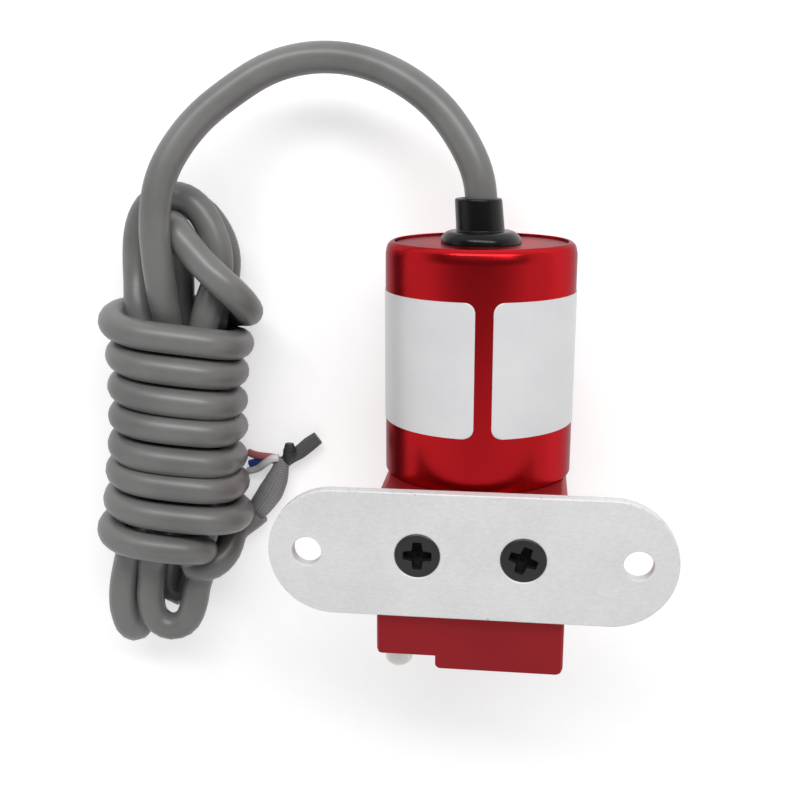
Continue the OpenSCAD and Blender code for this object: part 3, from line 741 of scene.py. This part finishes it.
@dataclass
class Cable(Assembly):
    """The jacketed cable: out of the gland, over in an arc, folded into a hank and wrapped.

    Attributes:
        diameter: of the jacket.
        core_height: height of the wraps' centre above the surface.
        core_depth: half the height of a wrap.
        squareness: the exponent that squares a wrap.
        contact: distance below which two strands push apart.
        least_bend: bends tighter than this are eased.
        spread: share of an overlap by which two strands move apart in a round.
        smoothing: share of its sag that a point gives up in a round.
        homing: share of its way back that a point takes in a round.
        coarse: distance between points while the strands settle.
        fine: distance between points of the finished line.
    """

    diameter: float = 5.0
    core_height: float = 10.0
    core_depth: float = 7.5
    squareness: float = 0.72
    contact: float = 4.6
    least_bend: float = 2.8
    spread: float = 0.35
    smoothing: float = 0.25
    homing: float = 0.09
    coarse: float = 1.25
    fine: float = 1.2

    # out of the gland and over to the hank
    RUN = (
        (0.3, 31, 15.5), (0.1, 34.4, 15.5), (-0.1, 37.7, 15.5), (-0.3, 40, 15.4),
        (-1.2, 42.8, 15.2), (-3.2, 46.5, 14.7), (-6.6, 51, 13.9), (-11, 54.6, 12.9),
        (-16.4, 57.4, 11.8), (-22.4, 58.9, 10.9), (-28.7, 58.9, 10.6), (-34.6, 57.3, 10.9),
        (-40, 54, 11.8), (-45.3, 49.8, 13.2), (-49.2, 44.8, 14.8), (-51.3, 40.4, 16),
    )
    # the folded strands, one after the other
    CORE = (
        (-52.2, 34.8, 17), (-52.2, 26.7, 16.8), (-52.3, 21.4, 14.9), (-52.2, 16.5, 12.8),
        (-52.2, 8, 12.4), (-52.2, -4, 12.4), (-53, -14, 12.4), (-55, -21, 11.9), (-58, -28, 10),
        (-59.8, -35, 8.9), (-59.5, -40.6, 8.6), (-56.9, -44.2, 8.4), (-53.4, -42, 8.2),
        (-51.8, -36.6, 7.8), (-50.9, -29, 7.8), (-50, -22, 10.4), (-48.6, -14, 12.4),
        (-48, -4, 12.4), (-48, 6, 12.2), (-47, 14, 10.8), (-45.6, 20, 9.2), (-44.2, 25.2, 8.7),
        (-44.6, 29, 8.4), (-46.2, 33.1, 8), (-49, 36.5, 7.5), (-52.7, 37.4, 7),
        (-56.3, 36.1, 6.8), (-58.4, 32.6, 7), (-58.9, 28.7, 7.5), (-58.6, 23.4, 8.7),
        (-57.6, 18, 10.4), (-56.4, 10, 12), (-56.2, -4, 12.4), (-57.6, -14, 12),
        (-60.4, -21, 11), (-63.2, -28, 9.8), (-64.8, -34.4, 9.4), (-64.7, -40.6, 9),
        (-63.6, -45.4, 7.8), (-63, -47, 5.2), (-63, -45, 2.8), (-63.2, -38, 2.6),
        (-61.6, -30, 3.4), (-59, -22, 5.6), (-57, -14, 7.2), (-56.3, -4, 7.5), (-56.3, 8, 7.3),
        (-57, 16, 5.6), (-57.8, 22, 3.6), (-57.6, 28, 2.7), (-56, 33.6, 2.6),
        (-52.7, 35.7, 2.6), (-49.3, 35.1, 2.7), (-46.5, 32, 2.9), (-44.6, 28, 3.2),
        (-44.4, 24.6, 3.7), (-45.6, 18, 5.6), (-47.6, 10, 7.2), (-48, -4, 7.5),
        (-48.6, -14, 7.3), (-50, -22, 5.8), (-52, -28.5, 4), (-53.8, -35, 2.9),
        (-55.2, -40, 2.6), (-57.4, -41.3, 2.6), (-58.8, -38, 2.7), (-58, -30, 3.8), (-55, -21, 6.6),
        (-52.6, -14, 7.5), (-52.1, -4, 7.5), (-52.1, 8, 7.5), (-52.1, 17, 7.4), (-51.8, 23, 7),
        (-52.1, 27.4, 7), (-53, 31.4, 7.8), (-52.8, 34.4, 10.1), (-51, 33.2, 12.8),
        (-48.6, 30.4, 14.2), (-45, 26.4, 15), (-41.7, 23.6, 15.6), (-39.6, 21.2, 14.2),
        (-39.1, 18.9, 11), (-39.8, 17.6, 7), (-42, 17.2, 3.8), (-46, 17.2, 2.6),
        (-52, 17.3, 2.5), (-58, 17.4, 3.1), (-61.6, 17.3, 5.8),
    )
    # the left and right ends of each wrap, from the top
    WRAP_LEFT = (
        (-62.5, 17.2), (-61.4, 11.5), (-60.9, 6.2), (-61.4, 1), (-62.1, -4.2), (-62.9, -9.1),
        (-63.7, -14.4), (-65, -20.1),
    )
    WRAP_RIGHT = (
        (-41.1, 12.4), (-42.2, 7.4), (-42.9, 2.1), (-43, -2.5), (-43.4, -8.2), (-42.7, -12.3),
        (-42, -18.3), (-46.2, -23.9),
    )
    # where the last wrap turns away, tucks in and comes out as the tail
    TAIL = (
        (-47.4, -24.2, 13.2), (-48.6, -24.9, 9.8), (-51.2, -25.8, 7), (-54.2, -27.2, 6.6),
        (-55.2, -28.8, 8.2), (-52.6, -29.2, 10.6), (-49.4, -28.7, 11.4), (-46.9, -26.6, 10.2),
        (-46.2, -24.2, 8), (-45.6, -22.4, 5.4), (-43.6, -21.4, 3.6), (-41.5, -20.6, 2.8),
        (-40.6, -20, 2.7),
    )

    def wraps(self, steps: int = 16) -> Points:
        """The wraps, laid around the strands from the top down.

        Over one turn t runs from 0 at the left end, x is the middle minus half the width times
        sgn(cos)|cos|^e, z is the height plus the depth times sgn(sin)|sin|^e, and y goes
        evenly from the left end to the right end in front and on to the next left end behind.

        Args:
            steps: points to a turn.

        Returns:
            The points, with the last turn ending in front.
        """
        left, right = np.array(self.WRAP_LEFT), np.array(self.WRAP_RIGHT)
        after = np.vstack([left[1:], left[-1:]])
        t = np.arange(steps) / steps
        front = (t <= 0.5)[None, :, None]
        start = np.where(front, left[:, None], right[:, None])
        end = np.where(front, right[:, None], after[:, None])
        share = np.where(t <= 0.5, t * 2, t * 2 - 1)[None, :]
        y = start[..., 1] + (end[..., 1] - start[..., 1]) * share
        outer = np.where(front, left[:, None], after[:, None])[..., 0]
        middle, half = (outer + right[:, None, 0]) / 2, (right[:, None, 0] - outer) / 2
        c, s = squared(2 * math.pi * t, self.squareness)
        turns = np.stack([middle - half * c, y, self.core_height + self.core_depth * s + 0 * y],
                         -1)
        last = int(steps * 0.4) + 1
        return np.vstack([turns[:-1].reshape(-1, 3), turns[-1, :last]])

    def settle(self, line: Points, rounds: int = 120) -> Points:
        """Lets the strands push each other apart, kept near their places and on the surface.

        Args:
            line: evenly spaced points.
            rounds: how often they are moved.

        Returns:
            The moved points.
        """
        home, line = line, line.copy()
        order = np.arange(len(line))
        spacing = np.linalg.norm(line[1] - line[0])
        apart = np.abs(order[:, None] - order) > math.ceil(1.6 * self.contact / spacing)
        for _ in range(rounds):
            between = line[:, None] - line[None]
            distance = np.linalg.norm(between, axis=2) + 1e-9
            push = np.where(apart & (distance < self.contact),
                            (self.contact - distance) / distance, 0)
            line = (line + self.spread * (between * push[..., None]).sum(1)
                    + self.smoothing * self.sag(line) + self.homing * (home - line))
            line[:, 2] = np.maximum(line[:, 2], self.diameter / 2)
            line[:3] = home[:3]
        return line

    def sag(self, line: Points) -> Points:
        """How far each point lies from the middle of its neighbours."""
        out = np.zeros_like(line)
        out[1:-1] = (line[:-2] + line[2:]) / 2 - line[1:-1]
        return out

    def ease(self, line: Points, rounds: int = 60) -> Points:
        """Smooths the line where it bends tighter than the least bend.

        Args:
            line: evenly spaced points.
            rounds: how often it is smoothed.

        Returns:
            The smoothed points.
        """
        line = line.copy()
        for _ in range(rounds):
            before, after = unit(line[1:-1] - line[:-2]), unit(line[2:] - line[1:-1])
            turn = np.arccos(np.clip((before * after).sum(1), -1, 1))
            step = np.linalg.norm(line[2:] - line[1:-1], axis=1)
            tight = np.zeros(len(line))
            tight[1:-1] = step / np.maximum(turn, 1e-6) < self.least_bend
            reach = np.convolve(tight, np.ones(7), "same") > 0
            line += 0.5 * reach[:, None] * self.sag(line)
            line[:, 2] = np.maximum(line[:, 2], self.diameter / 2)
        return line

    def line(self) -> Points:
        """The cable's centre line.

        Returns:
            (n, 3) points in millimetres.
        """
        route = np.vstack([np.array(self.RUN), np.array(self.CORE), self.wraps(),
                           np.array(self.TAIL)])
        settled = self.settle(even(spline(route), self.coarse))
        return even(spline(self.ease(settled), 4), self.fine)

    def build(self) -> list[bpy.types.Object]:
        """Returns:
            The cable.
        """
        line = self.line()
        data = bpy.data.curves.new("cable", "CURVE")
        data.dimensions = "3D"
        data.bevel_depth = self.diameter / 2 * MM
        data.bevel_resolution = 6
        data.use_fill_caps = True
        path = data.splines.new("POLY")
        path.points.add(len(line) - 1)
        path.points.foreach_set("co", np.c_[line * MM, np.ones(len(line))].ravel())
        path.use_smooth = True
        piece = linked("cable", data)
        self.place(piece, "grey_jacket", "cable_run", "cable_hank", "cable_tail")
        return [piece]


@dataclass
class LooseEnds(Assembly):
    """What comes out of the cable's cut end: the braid, its twisted end and three cores.

    Attributes:
        core: diameter of a core.
    """

    core: float = 1.4

    BRAID = ((-41, -20.2, 2.6), (-39.6, -18.3, 2.6), (-38.1, -16.1, 2.6), (-36.9, -13.7, 2.5),
             (-36.2, -11.6, 2.4), (-35.9, -9.8, 2.3))
    BRAID_HALF_WIDTHS = (1.9, 2.15, 2.3, 2.0, 1.5, 1.3)
    TWIST = ((-35.6, -10.6, 2.2), (-34.3, -9.6, 2.1), (-32.7, -8.6, 1.9), (-31, -7.2, 1.6),
             (-29.4, -6, 1.4))
    TWIST_HALF_WIDTHS = (1.1, 1.2, 1.3, 1.35, 1.2)
    KNOT = ((-35, -10.6, 2.4), (-34.6, -9.3, 2.9), (-34.3, -8, 3.2), (-34.3, -6.7, 3.2))
    KNOT_HALF_WIDTHS = (0.7, 1.05, 1.15, 0.75)
    BLUE = ((-37.5, -10.3, 1.9), (-38.6, -10.4, 1.8), (-39.8, -10.6, 1.7), (-41, -11, 1.4),
            (-42.2, -11.4, 1.2))
    RED = ((-37.2, -9.7, 2.5), (-38.4, -9.6, 2.4), (-39.8, -9.6, 2.1), (-41.2, -9.5, 1.7),
           (-42.4, -9.2, 1.4))
    PALE = ((-36.3, -9.5, 3.1), (-37.5, -9.7, 3.2), (-38.9, -10.7, 2.7), (-40.6, -12.1, 1.6),
            (-42.6, -12.9, 1))

    def band(self, name: str, points: Sequence[Sequence[float]], widths: Sequence[float],
             flat: float, square: float = 0.8) -> bpy.types.Object:
        """A swept piece whose width follows its points.

        Args:
            name: the piece's name.
            points: its centre points.
            widths: its half width at each.
            flat: its thickness as a share of its width.
            square: the exponent of its section.

        Returns:
            The piece.
        """
        line = np.array(points, float)
        fine = spline(line, 8)
        widths = np.interp(np.linspace(0, len(line) - 1, len(fine)), np.arange(len(line)), widths)
        return sweep(name, fine, widths, widths * flat, square=square)

    def build(self) -> list[bpy.types.Object]:
        """Makes the braid, its end and the cores.

        Returns:
            The pieces.
        """
        wires = (("core_blue", self.BLUE, "blue_insulation"),
                 ("core_red", self.RED, "red_insulation"),
                 ("core_pale", self.PALE, "pale_insulation"))
        made = [
            self.place(self.band("braid_sleeve", self.BRAID, self.BRAID_HALF_WIDTHS, 0.7),
                       "grey_braid", "cable_braid"),
            self.place(self.band("braid_end", self.TWIST, self.TWIST_HALF_WIDTHS, 0.45, 0.6),
                       "dark_braid", "braid_pigtail"),
            self.place(self.band("braid_knot", self.KNOT, self.KNOT_HALF_WIDTHS, 0.8),
                       "knotted_braid"),
        ]
        for name, points, slot in wires:
            widths = [self.core / 2] * len(points)
            made.append(self.place(self.band(name + "_wire", points, widths, 1.0, 1.0), slot,
                                   name))
        return made


@dataclass
class Block(Assembly):
    """The square block for the drum and its back cover; its gasket keeps its CAD shape among the
    inner parts.

    Attributes:
        edge: width of the block's softened edges.
    """

    edge: float = 0.16

    def build(self) -> list[bpy.types.Object]:
        """Makes softened copies of the block and its cover.

        Returns:
            The pieces.
        """
        return [self.place(softened_copy(node, self.edge), "blasted_red")
                for node in ("housing_block", "back_cover")]


@dataclass
class Plate(Assembly):
    """The mounting plate with its two countersunk screws.

    Attributes:
        edge: width of the plate's softened edges.
        head: diameter of a screw's head.
        shank: diameter of a screw's shank.
        length: of a screw.
        spacing: between the screws.
        arm: half length of the cross recess.
        slot_width: half width of the recess's arms.
        recess: its depth.
        around_cross: reach of the finer rings, as a share of the arm.
        rim: how far below the face the cone under the head begins.
        crown: how high the head's middle stands over its face.
        fall: how far its outermost edge drops.
        turn: degrees that the right screw's recess is turned.
    """

    edge: float = 0.1
    head: float = 7.2
    shank: float = 4.0
    length: float = 6.0
    spacing: float = 16.0
    arm: float = 2.1
    slot_width: float = 0.6
    recess: float = 2.1
    around_cross: float = 1.25
    rim: float = 0.45
    crown: float = 0.06
    fall: float = 0.22
    turn: float = -20.0

    def head_height(self, x: Points, y: Points) -> Points:
        """The height of a screw's top: a slight crown with a cross recess.

        An arm along u with v across is deep where |v| < w (1 + 0.5 (1 - |u| / a)) and |u| < a;
        its floor rises from the full depth at the middle to 0.65 of it at the arm's end.

        Args:
            x: X from the screw's axis.
            y: Y from the screw's axis.

        Returns:
            Height against the head's rim, in millimetres.
        """
        deep = np.zeros_like(x)
        for u, v in ((x, y), (y, x)):
            width = self.slot_width * (1 + 0.5 * (1 - np.clip(np.abs(u) / self.arm, 0, 1)))
            inside = (smoothstep(0.1, -0.1, np.abs(v) - width)
                      * smoothstep(0.12, -0.12, np.abs(u) - self.arm))
            floor = 1 - 0.35 * np.clip(np.abs(u) / self.arm, 0, 1)
            deep = np.maximum(deep, inside * floor)
        radius = np.hypot(x, y) / (self.head / 2)
        top = self.crown * (1 - radius ** 2) - self.fall * smoothstep(0.9, 1.0, radius)
        return top - self.recess * deep

    def screw(self, side: int) -> bpy.types.Object:
        """A countersunk screw with a cross recess, made ring by ring from the middle out.

        Args:
            side: -1 for the left screw and 1 for the right one.

        Returns:
            The screw.
        """
        _, high, middle = extent(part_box("mounting_plate"))
        cross = self.arm * self.around_cross
        rings = np.concatenate([np.linspace(0, cross, 90)[1:],
                                np.linspace(cross, self.head / 2, 26)[1:]])
        t = np.linspace(0, 2 * math.pi, 256, endpoint=False)
        x, y = rings[:, None] * np.cos(t), rings[:, None] * np.sin(t)
        head = np.stack([x, y, self.head_height(x, y)], -1)
        pole = np.zeros((1, len(t), 3))
        pole[..., 2] = self.head_height(np.zeros(1), np.zeros(1))
        cone = (self.head - self.shank) / 2
        outline = [(self.head / 2, -self.rim), (self.shank / 2, -self.rim - cone),
                   (self.shank / 2, -self.length), (0.0, -self.length)]
        r, h = np.array(outline).T[:, :, None]
        under = np.stack([r * np.cos(t), r * np.sin(t), h + 0 * t], -1)
        points = np.concatenate([pole, head, under])
        angle = math.radians(self.turn) if side > 0 else 0.0
        turned = points @ np.array([[math.cos(angle), math.sin(angle), 0],
                                    [-math.sin(angle), math.cos(angle), 0], [0, 0, 1]])
        turned += (side * self.spacing / 2, middle[1], high[2])
        return mesh_piece(f"plate_screw_{'left' if side < 0 else 'right'}", turned,
                          grid_faces(len(points), len(t), True), 60)

    def build(self) -> list[bpy.types.Object]:
        """Makes the plate and its screws.

        Returns:
            The pieces.
        """
        plate = self.place(softened_copy("mounting_plate", self.edge), "plate")
        screws = [self.place(self.screw(side), "screw_head") for side in (-1, 1)]
        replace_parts(screws[0], "plate_screws")
        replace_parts(screws[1], "plate_screws")
        return [plate, *screws]


@dataclass
class Can(Assembly):
    """The round can with its lid and two bare labels.

    Attributes:
        diameter: of the can.
        rim: size of the rim's two slopes, a steep one below a flat one.
        lid_edge: width of the lid's softened edge.
        rim_wall: wall at the rim.
        recess: how far the lid lies below the rim.
        lid_thickness: of the lid.
        wall: of the can.
        floor: of the can.
        film: thickness of a label.
        lift: how far a label's face stands out further and its back lies in the can.
        corner: radius of a label's corners.
    """

    diameter: float = 30.0
    rim: float = 0.9
    rim_wall: float = 1.4
    recess: float = 0.4
    lid_thickness: float = 2.5
    wall: float = 2.0
    floor: float = 2.0
    film: float = 0.1
    lift: float = 0.02
    corner: float = 1.6
    lid_edge: float = 0.12

    # the rim's corners, as shares of the rim: how far below the top and how far in
    RIM_CORNERS = ((1.9, 0.0), (0.55, 0.36), (0.0, 1.1))
    # how far each corner of the outline is rounded, from the foot's outer edge to the floor
    ROUNDINGS = (0.3, 0.9, 0.5, 0.3, 0.1, 0.1, 0.1, 0.3)

    def shell(self) -> bpy.types.Object:
        """The can's shell, turned from its outline: outside, rim, step for the lid and inside.

        Returns:
            The shell.
        """
        low, high, middle = extent(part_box("electronics_can"))
        r, height = self.diameter / 2, high[1] - low[1]
        seat = height - self.recess - self.lid_thickness
        rim = [(r - self.rim * inward, height - self.rim * below)
               for below, inward in self.RIM_CORNERS]
        corners = [(0, 0), (r, 0), *rim, (r - self.rim_wall, height),
                   (r - self.rim_wall, seat), (r - self.wall, seat), (r - self.wall, self.floor),
                   (0, self.floor)]
        outline = soften(corners, self.ROUNDINGS, 8)
        return lathe("can_shell", outline, (middle[0], low[1], middle[2]), 200)

    def label(self, node: str, rows: int = 48, columns: int = 110) -> bpy.types.Object:
        """A label: a curved film with rounded corners, its edge turned down to the can.

        Over (u, v) from -1 to 1 the film lies at angle a0 + u w(v) and height h0 + v h, where
        w(v) shortens the rows near the top and the bottom so that the corners are round.

        Args:
            node: the CAD node that it stands for.
            rows: points up the film.
            columns: points around it.

        Returns:
            The label.
        """
        _, _, (cx, _, cz) = extent(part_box("electronics_can"))
        low, high, (_, level, _) = extent(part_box(node))
        radius = self.diameter / 2
        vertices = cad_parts[node].data.vertices
        points = np.zeros(3 * len(vertices), np.float32)
        vertices.foreach_get("co", points)
        points = points.reshape(-1, 3).astype(float) / MM
        side = np.sign(points[:, 0].mean())
        covered = np.arctan2((points[:, 0] - cx) * side, points[:, 2] - cz)
        a0, a1 = covered.min(), covered.max()
        middle, half = (a0 + a1) / 2, (a1 - a0) / 2
        tall = (high[1] - low[1]) / 2
        v = np.sin(np.linspace(-1, 1, rows) * math.pi / 2) * tall
        beyond = np.maximum(np.abs(v) - (tall - self.corner), 0)
        cut = self.corner - np.sqrt(np.maximum(self.corner ** 2 - beyond ** 2, 0))
        reach = half - cut / radius
        angle = middle + np.linspace(-1, 1, columns)[None, :] * reach[:, None]
        rise = np.full_like(angle, self.film + self.lift)
        rise[[0, -1]] = 0.0
        rise[:, [0, -1]] = 0.0
        y = v[:, None] + 0 * angle + level
        face, back = (np.stack([cx + side * r * np.sin(angle), y, cz + r * np.cos(angle)], -1)
                      for r in (radius + rise, radius - self.lift))
        count = rows * columns
        faces = grid_faces(rows, columns, False)
        edge = np.arange(count).reshape(rows, columns)
        ring = np.concatenate([edge[0], edge[1:, -1], edge[-1, -2::-1], edge[-2:0:-1, 0]])
        after = np.roll(ring, -1)
        skirt = np.stack([ring, after, after + count, ring + count], -1)
        return mesh_piece(node + "_film", np.stack([face, back]),
                          np.concatenate([faces, faces + count, skirt]), 50)

    def build(self) -> list[bpy.types.Object]:
        """Makes the can, the lid and the labels.

        Returns:
            The pieces.
        """
        pieces = [self.place(self.shell(), "turned_red", "electronics_can"),
                  self.place(softened_copy("can_lid", self.lid_edge), "lid_red")]
        return pieces + [self.place(self.label(node), "label_film", node)
                         for node in ("label_left", "label_right")]


@dataclass
class Gland(Assembly):
    """The rubber gland on the lid: a domed foot and a sleeve that leans with the cable.

    Attributes:
        foot: diameter of the foot.
        foot_height: of the foot.
        sleeve: diameter of the sleeve.
        height: of the sleeve over the foot.
        bore: diameter of its bore.
        lean: sideways shift for each millimetre of height.
        plug: radius of the part in the lid.
        plug_depth: how far that part reaches down.
        side: height of the foot's side, under the dome.
        draft: how far the side leans in.
        dome: how far the dome reaches in.
        taper: how far the sleeve leans in.
        mouth: depth of the flare at the top of the bore.
        flare: its width.
        play: clearance of the bore under the flare.
    """

    foot: float = 12.7
    foot_height: float = 1.9
    sleeve: float = 7.6
    height: float = 5.0
    bore: float = 5.0
    lean: float = -0.082
    plug: float = 4.2
    plug_depth: float = 2.0
    side: float = 0.9
    draft: float = 0.15
    dome: float = 1.1
    taper: float = 0.12
    mouth: float = 0.9
    flare: float = 0.35
    play: float = 0.02

    # how far each corner of the outline is rounded, from the plug's lower edge to the bore
    ROUNDINGS = (0.1, 0.1, 0.1, 0.7, 0.8, 0.25, 0.5, 0.3, 0.3)

    def build(self) -> list[bpy.types.Object]:
        """Turns the gland from its outline.

        Returns:
            The gland.
        """
        _, high, (x, _, z) = extent(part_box("cable_gland"))
        top = self.foot_height + self.height
        foot, sleeve, bore = self.foot / 2, self.sleeve / 2, self.bore / 2
        corners = [(bore, -self.plug_depth), (self.plug, -self.plug_depth), (self.plug, 0.0),
                   (foot, 0.0), (foot - self.draft, self.side),
                   (foot - self.dome, self.foot_height), (sleeve, self.foot_height),
                   (sleeve - self.taper, top), (bore + self.flare, top),
                   (bore + self.play, top - self.mouth), (bore, -self.plug_depth)]
        outline = soften(corners, self.ROUNDINGS, 7)
        gland = lathe("gland", outline, (x, high[1] - top, z), 144, self.lean, 60)
        return [self.place(gland, "black_rubber", "cable_gland")]


@dataclass
class WireEnd(Assembly):
    """The draw wire with its plated end fitting.

    Attributes:
        fitting: diameter of the fitting.
        wire: diameter of the wire.
        nose: height of the rounded end.
        tip: width of its flat tip, as a share of the fitting's.
    """

    body: str = "wire_end"
    fitting: float = 4.4
    wire: float = 0.6
    nose: float = 0.9
    tip: float = 0.55

    # how far the tip, the nose and the far edge are rounded
    ROUNDINGS = (1.2, 1.1, 0.25)

    def build(self) -> list[bpy.types.Object]:
        """Makes the fitting, and the wire that follows it out of the block.

        Returns:
            The pieces.
        """
        low, high, (x, _, z) = extent(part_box("wire_end_fitting"))
        r, length = self.fitting / 2, high[1] - low[1]
        corners = [(0, 0), (r * self.tip, 0.0), (r, self.nose), (r, length), (0, length)]
        fitting = lathe("end_fitting", soften(corners, self.ROUNDINGS, 8), (x, low[1], z), 96,
                        sharp=60)
        inner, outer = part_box("draw_wire")
        reach = np.linspace(0, (outer.y - inner.y) / MM, 80)[:, None]
        profile = np.vstack([[0, 0], np.hstack([np.full_like(reach, self.wire / 2), reach]),
                             [0, reach[-1, 0]]])
        wire = lathe("pulled_wire", profile, (x, inner.y / MM, z), 24, sharp=60)
        self.finishes.give(wire, "bright_steel")
        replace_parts(wire, "draw_wire")
        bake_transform(wire)
        return [self.place(fitting, "plated_fitting", "wire_end_fitting"), wire]


@dataclass
class InnerParts(Assembly):
    """The CAD nodes that keep their own shape and get a finish."""

    KEPT = {
        "black_rubber": ("cover_gasket", "lid_seal"),
        "black_steel": ("cover_screws",),
        "bright_steel": ("can_screws", "wire_outlet_bush", "wound_wire", "drum_shaft",
                         "front_bearing_outer", "front_bearing_inner", "rear_bearing_outer",
                         "rear_bearing_inner", "bearing_balls", "power_spring"),
        "brass": ("spring_arbor",),
        "plate": ("wire_drum", "bearing_bridge", "magnet_holder", "spacer_ring"),
        "dark_magnet": ("sensor_magnet",),
        "green_board": ("sensor_board", "circuit_board"),
        "black_plastic": ("sensor_chip", "board_carrier", "board_parts"),
        "lead_insulation": ("sensor_leads",),
        "grey_jacket": ("cable_entry",),
    }

    def build(self) -> list[bpy.types.Object]:
        """Gives each node its finish.

        Returns:
            The nodes.
        """
        return [self.finishes.give(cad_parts[node], finish)
                for finish, nodes in self.KEPT.items() for node in nodes]


# ---------------------------------------------------------------- camera, floor and light


@dataclass(frozen=True)
class Lamp:
    """A flat lamp.

    Attributes:
        name: its name.
        at: its place in metres.
        aim: the point that it faces.
        size: its width and height in metres.
        power: in watts.
    """

    name: str
    at: tuple[float, float, float]
    aim: tuple[float, float, float]
    size: tuple[float, float]
    power: float

    def build(self) -> None:
        """Makes the lamp."""
        data = bpy.data.lights.new(self.name, "AREA")
        data.shape = "RECTANGLE"
        data.size, data.size_y = self.size
        data.energy = self.power
        lamp = linked(self.name, data)
        lamp.location = self.at
        lamp.rotation_euler = (Vector(self.aim) - Vector(self.at)).to_track_quat(
            "-Z", "Y").to_euler()


@dataclass
class Studio:
    """The camera above the part, a pale floor, a white tent and one lamp.

    Attributes:
        key: the lamp.
        eye: the camera's place in metres.
        right: its direction to the right.
        up: its direction up.
        lens: its focal length in millimetres.
        side: strength of the tent's light at the sides.
        top: its strength in the dimmer patch overhead.
        dim: the direction of the patch's middle.
        narrow: what X is multiplied by, less than 1 to draw the patch out along X.
        fade: cosines of the angle from dim at which the patch begins and is full.
        glow: strength of the floor's own glow, which lights nothing.
        floor_size: length of the floor's sides in metres.
    """

    key: Lamp = Lamp("key", (0.04, 0.36, 0.37), (-0.01, 0.0, 0.01), (0.62, 0.13), 2.4)
    eye: tuple[float, float, float] = (0.00796, 0.04825, 0.1874)
    right: tuple[float, float, float] = (0.9928, 0.0, -0.12)
    up: tuple[float, float, float] = (-0.0291, 0.9703, -0.2406)
    lens: float = 49.07
    side: float = 0.90
    top: float = 0.16
    narrow: float = 0.42
    fade: tuple[float, float] = (0.71, 0.9)
    glow: float = 0.5
    dim: tuple[float, float, float] = (0.0, 0.39, 0.921)
    floor_size: float = 4.0

    def camera(self) -> None:
        """Creates and sets the camera."""
        data = bpy.data.cameras.new("camera")
        data.lens, data.sensor_width = self.lens, 36.0
        data.clip_start, data.clip_end = 0.01, 20.0
        camera = linked("camera", data)
        right, up = Vector(self.right).normalized(), Vector(self.up).normalized()
        back = right.cross(up).normalized()
        turn = Matrix((right, back.cross(right), back)).transposed().to_4x4()
        camera.matrix_world = Matrix.Translation(self.eye) @ turn
        bpy.context.scene.camera = camera

    def floor(self, height: float) -> None:
        """A pale floor that keeps the part's shadow.

        Its glow shows to the camera, in metal and through glass, and lights nothing.

        Args:
            height: where it lies.
        """
        s = self.floor_size / 2
        data = bpy.data.meshes.new("floor")
        data.from_pydata([(-s, -s, height), (s, -s, height), (s, s, height), (-s, s, height)], [],
                         [(0, 1, 2, 3)])
        floor = linked("floor", data)
        g = Graph(bpy.data.materials.new("floor"))
        grain = g.noise(g.place(), 300.0).ramp(0.3, 0.7)
        data.materials.append(g.finish(
            Base_Color=g.blend(grain, (0.6, 0.6, 0.6, 1), (0.62, 0.62, 0.62, 1)),
            Roughness=grain * 0.1 + 0.75,
            Emission_Color=g.blend(g.seen(), (0, 0, 0, 1), (1, 1, 1, 1)),
            Emission_Strength=self.glow))
        floor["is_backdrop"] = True

    def backdrop(self) -> None:
        """A white tent that is dimmer overhead, the same to the camera, to metal and as light.

        The dimmer patch lies around the direction dim and is drawn out along X: with X made
        narrow times as large, the light falls smoothly from side to top as the cosine of the
        angle from dim rises through fade.
        """
        world = bpy.data.worlds.new("backdrop")
        bpy.context.scene.world = world
        g = Graph(world)
        drawn = g.add("ShaderNodeVectorMath", {"operation": "MULTIPLY"},
                      {0: g.add("ShaderNodeTexCoord", out="Generated"),
                       1: (self.narrow, 1.0, 1.0)})
        level = g.add("ShaderNodeVectorMath", {"operation": "NORMALIZE"}, {0: drawn})
        toward = g.add("ShaderNodeVectorMath", {"operation": "DOT_PRODUCT"},
                       {0: level, 1: self.dim}, "Value")
        strength = g.add("ShaderNodeMapRange", {"interpolation_type": "SMOOTHSTEP"},
                         {0: toward, 1: self.fade[0], 2: self.fade[1], 3: self.side,
                          4: self.top})
        tent = g.add("ShaderNodeBackground", None, {0: (1, 1, 1, 1), 1: strength})
        g.add("ShaderNodeOutputWorld", None, {0: tent})

    def build(self) -> None:
        """Makes the floor, the backdrop and the lamp."""
        self.floor(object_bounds()[0][2] - 0.0001)
        self.backdrop()
        self.key.build()
        bpy.context.scene.view_settings.view_transform = "Standard"


def main() -> None:
    """Builds the camera, every sub-assembly with a report of its pieces, and the studio."""
    logging.basicConfig(level=logging.INFO, format="%(message)s")
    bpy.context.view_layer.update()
    studio = Studio()
    studio.camera()
    finishes = Finishes()
    for assembly in (Cable, LooseEnds, Block, Plate, Can, Gland, WireEnd, InnerParts):
        for piece in assembly(finishes).build():
            LOG.info("%s: %s in %s", assembly.__name__, piece.name, piece.data.materials[0].name)
    studio.build()


if __name__ == "__main__":
    main()
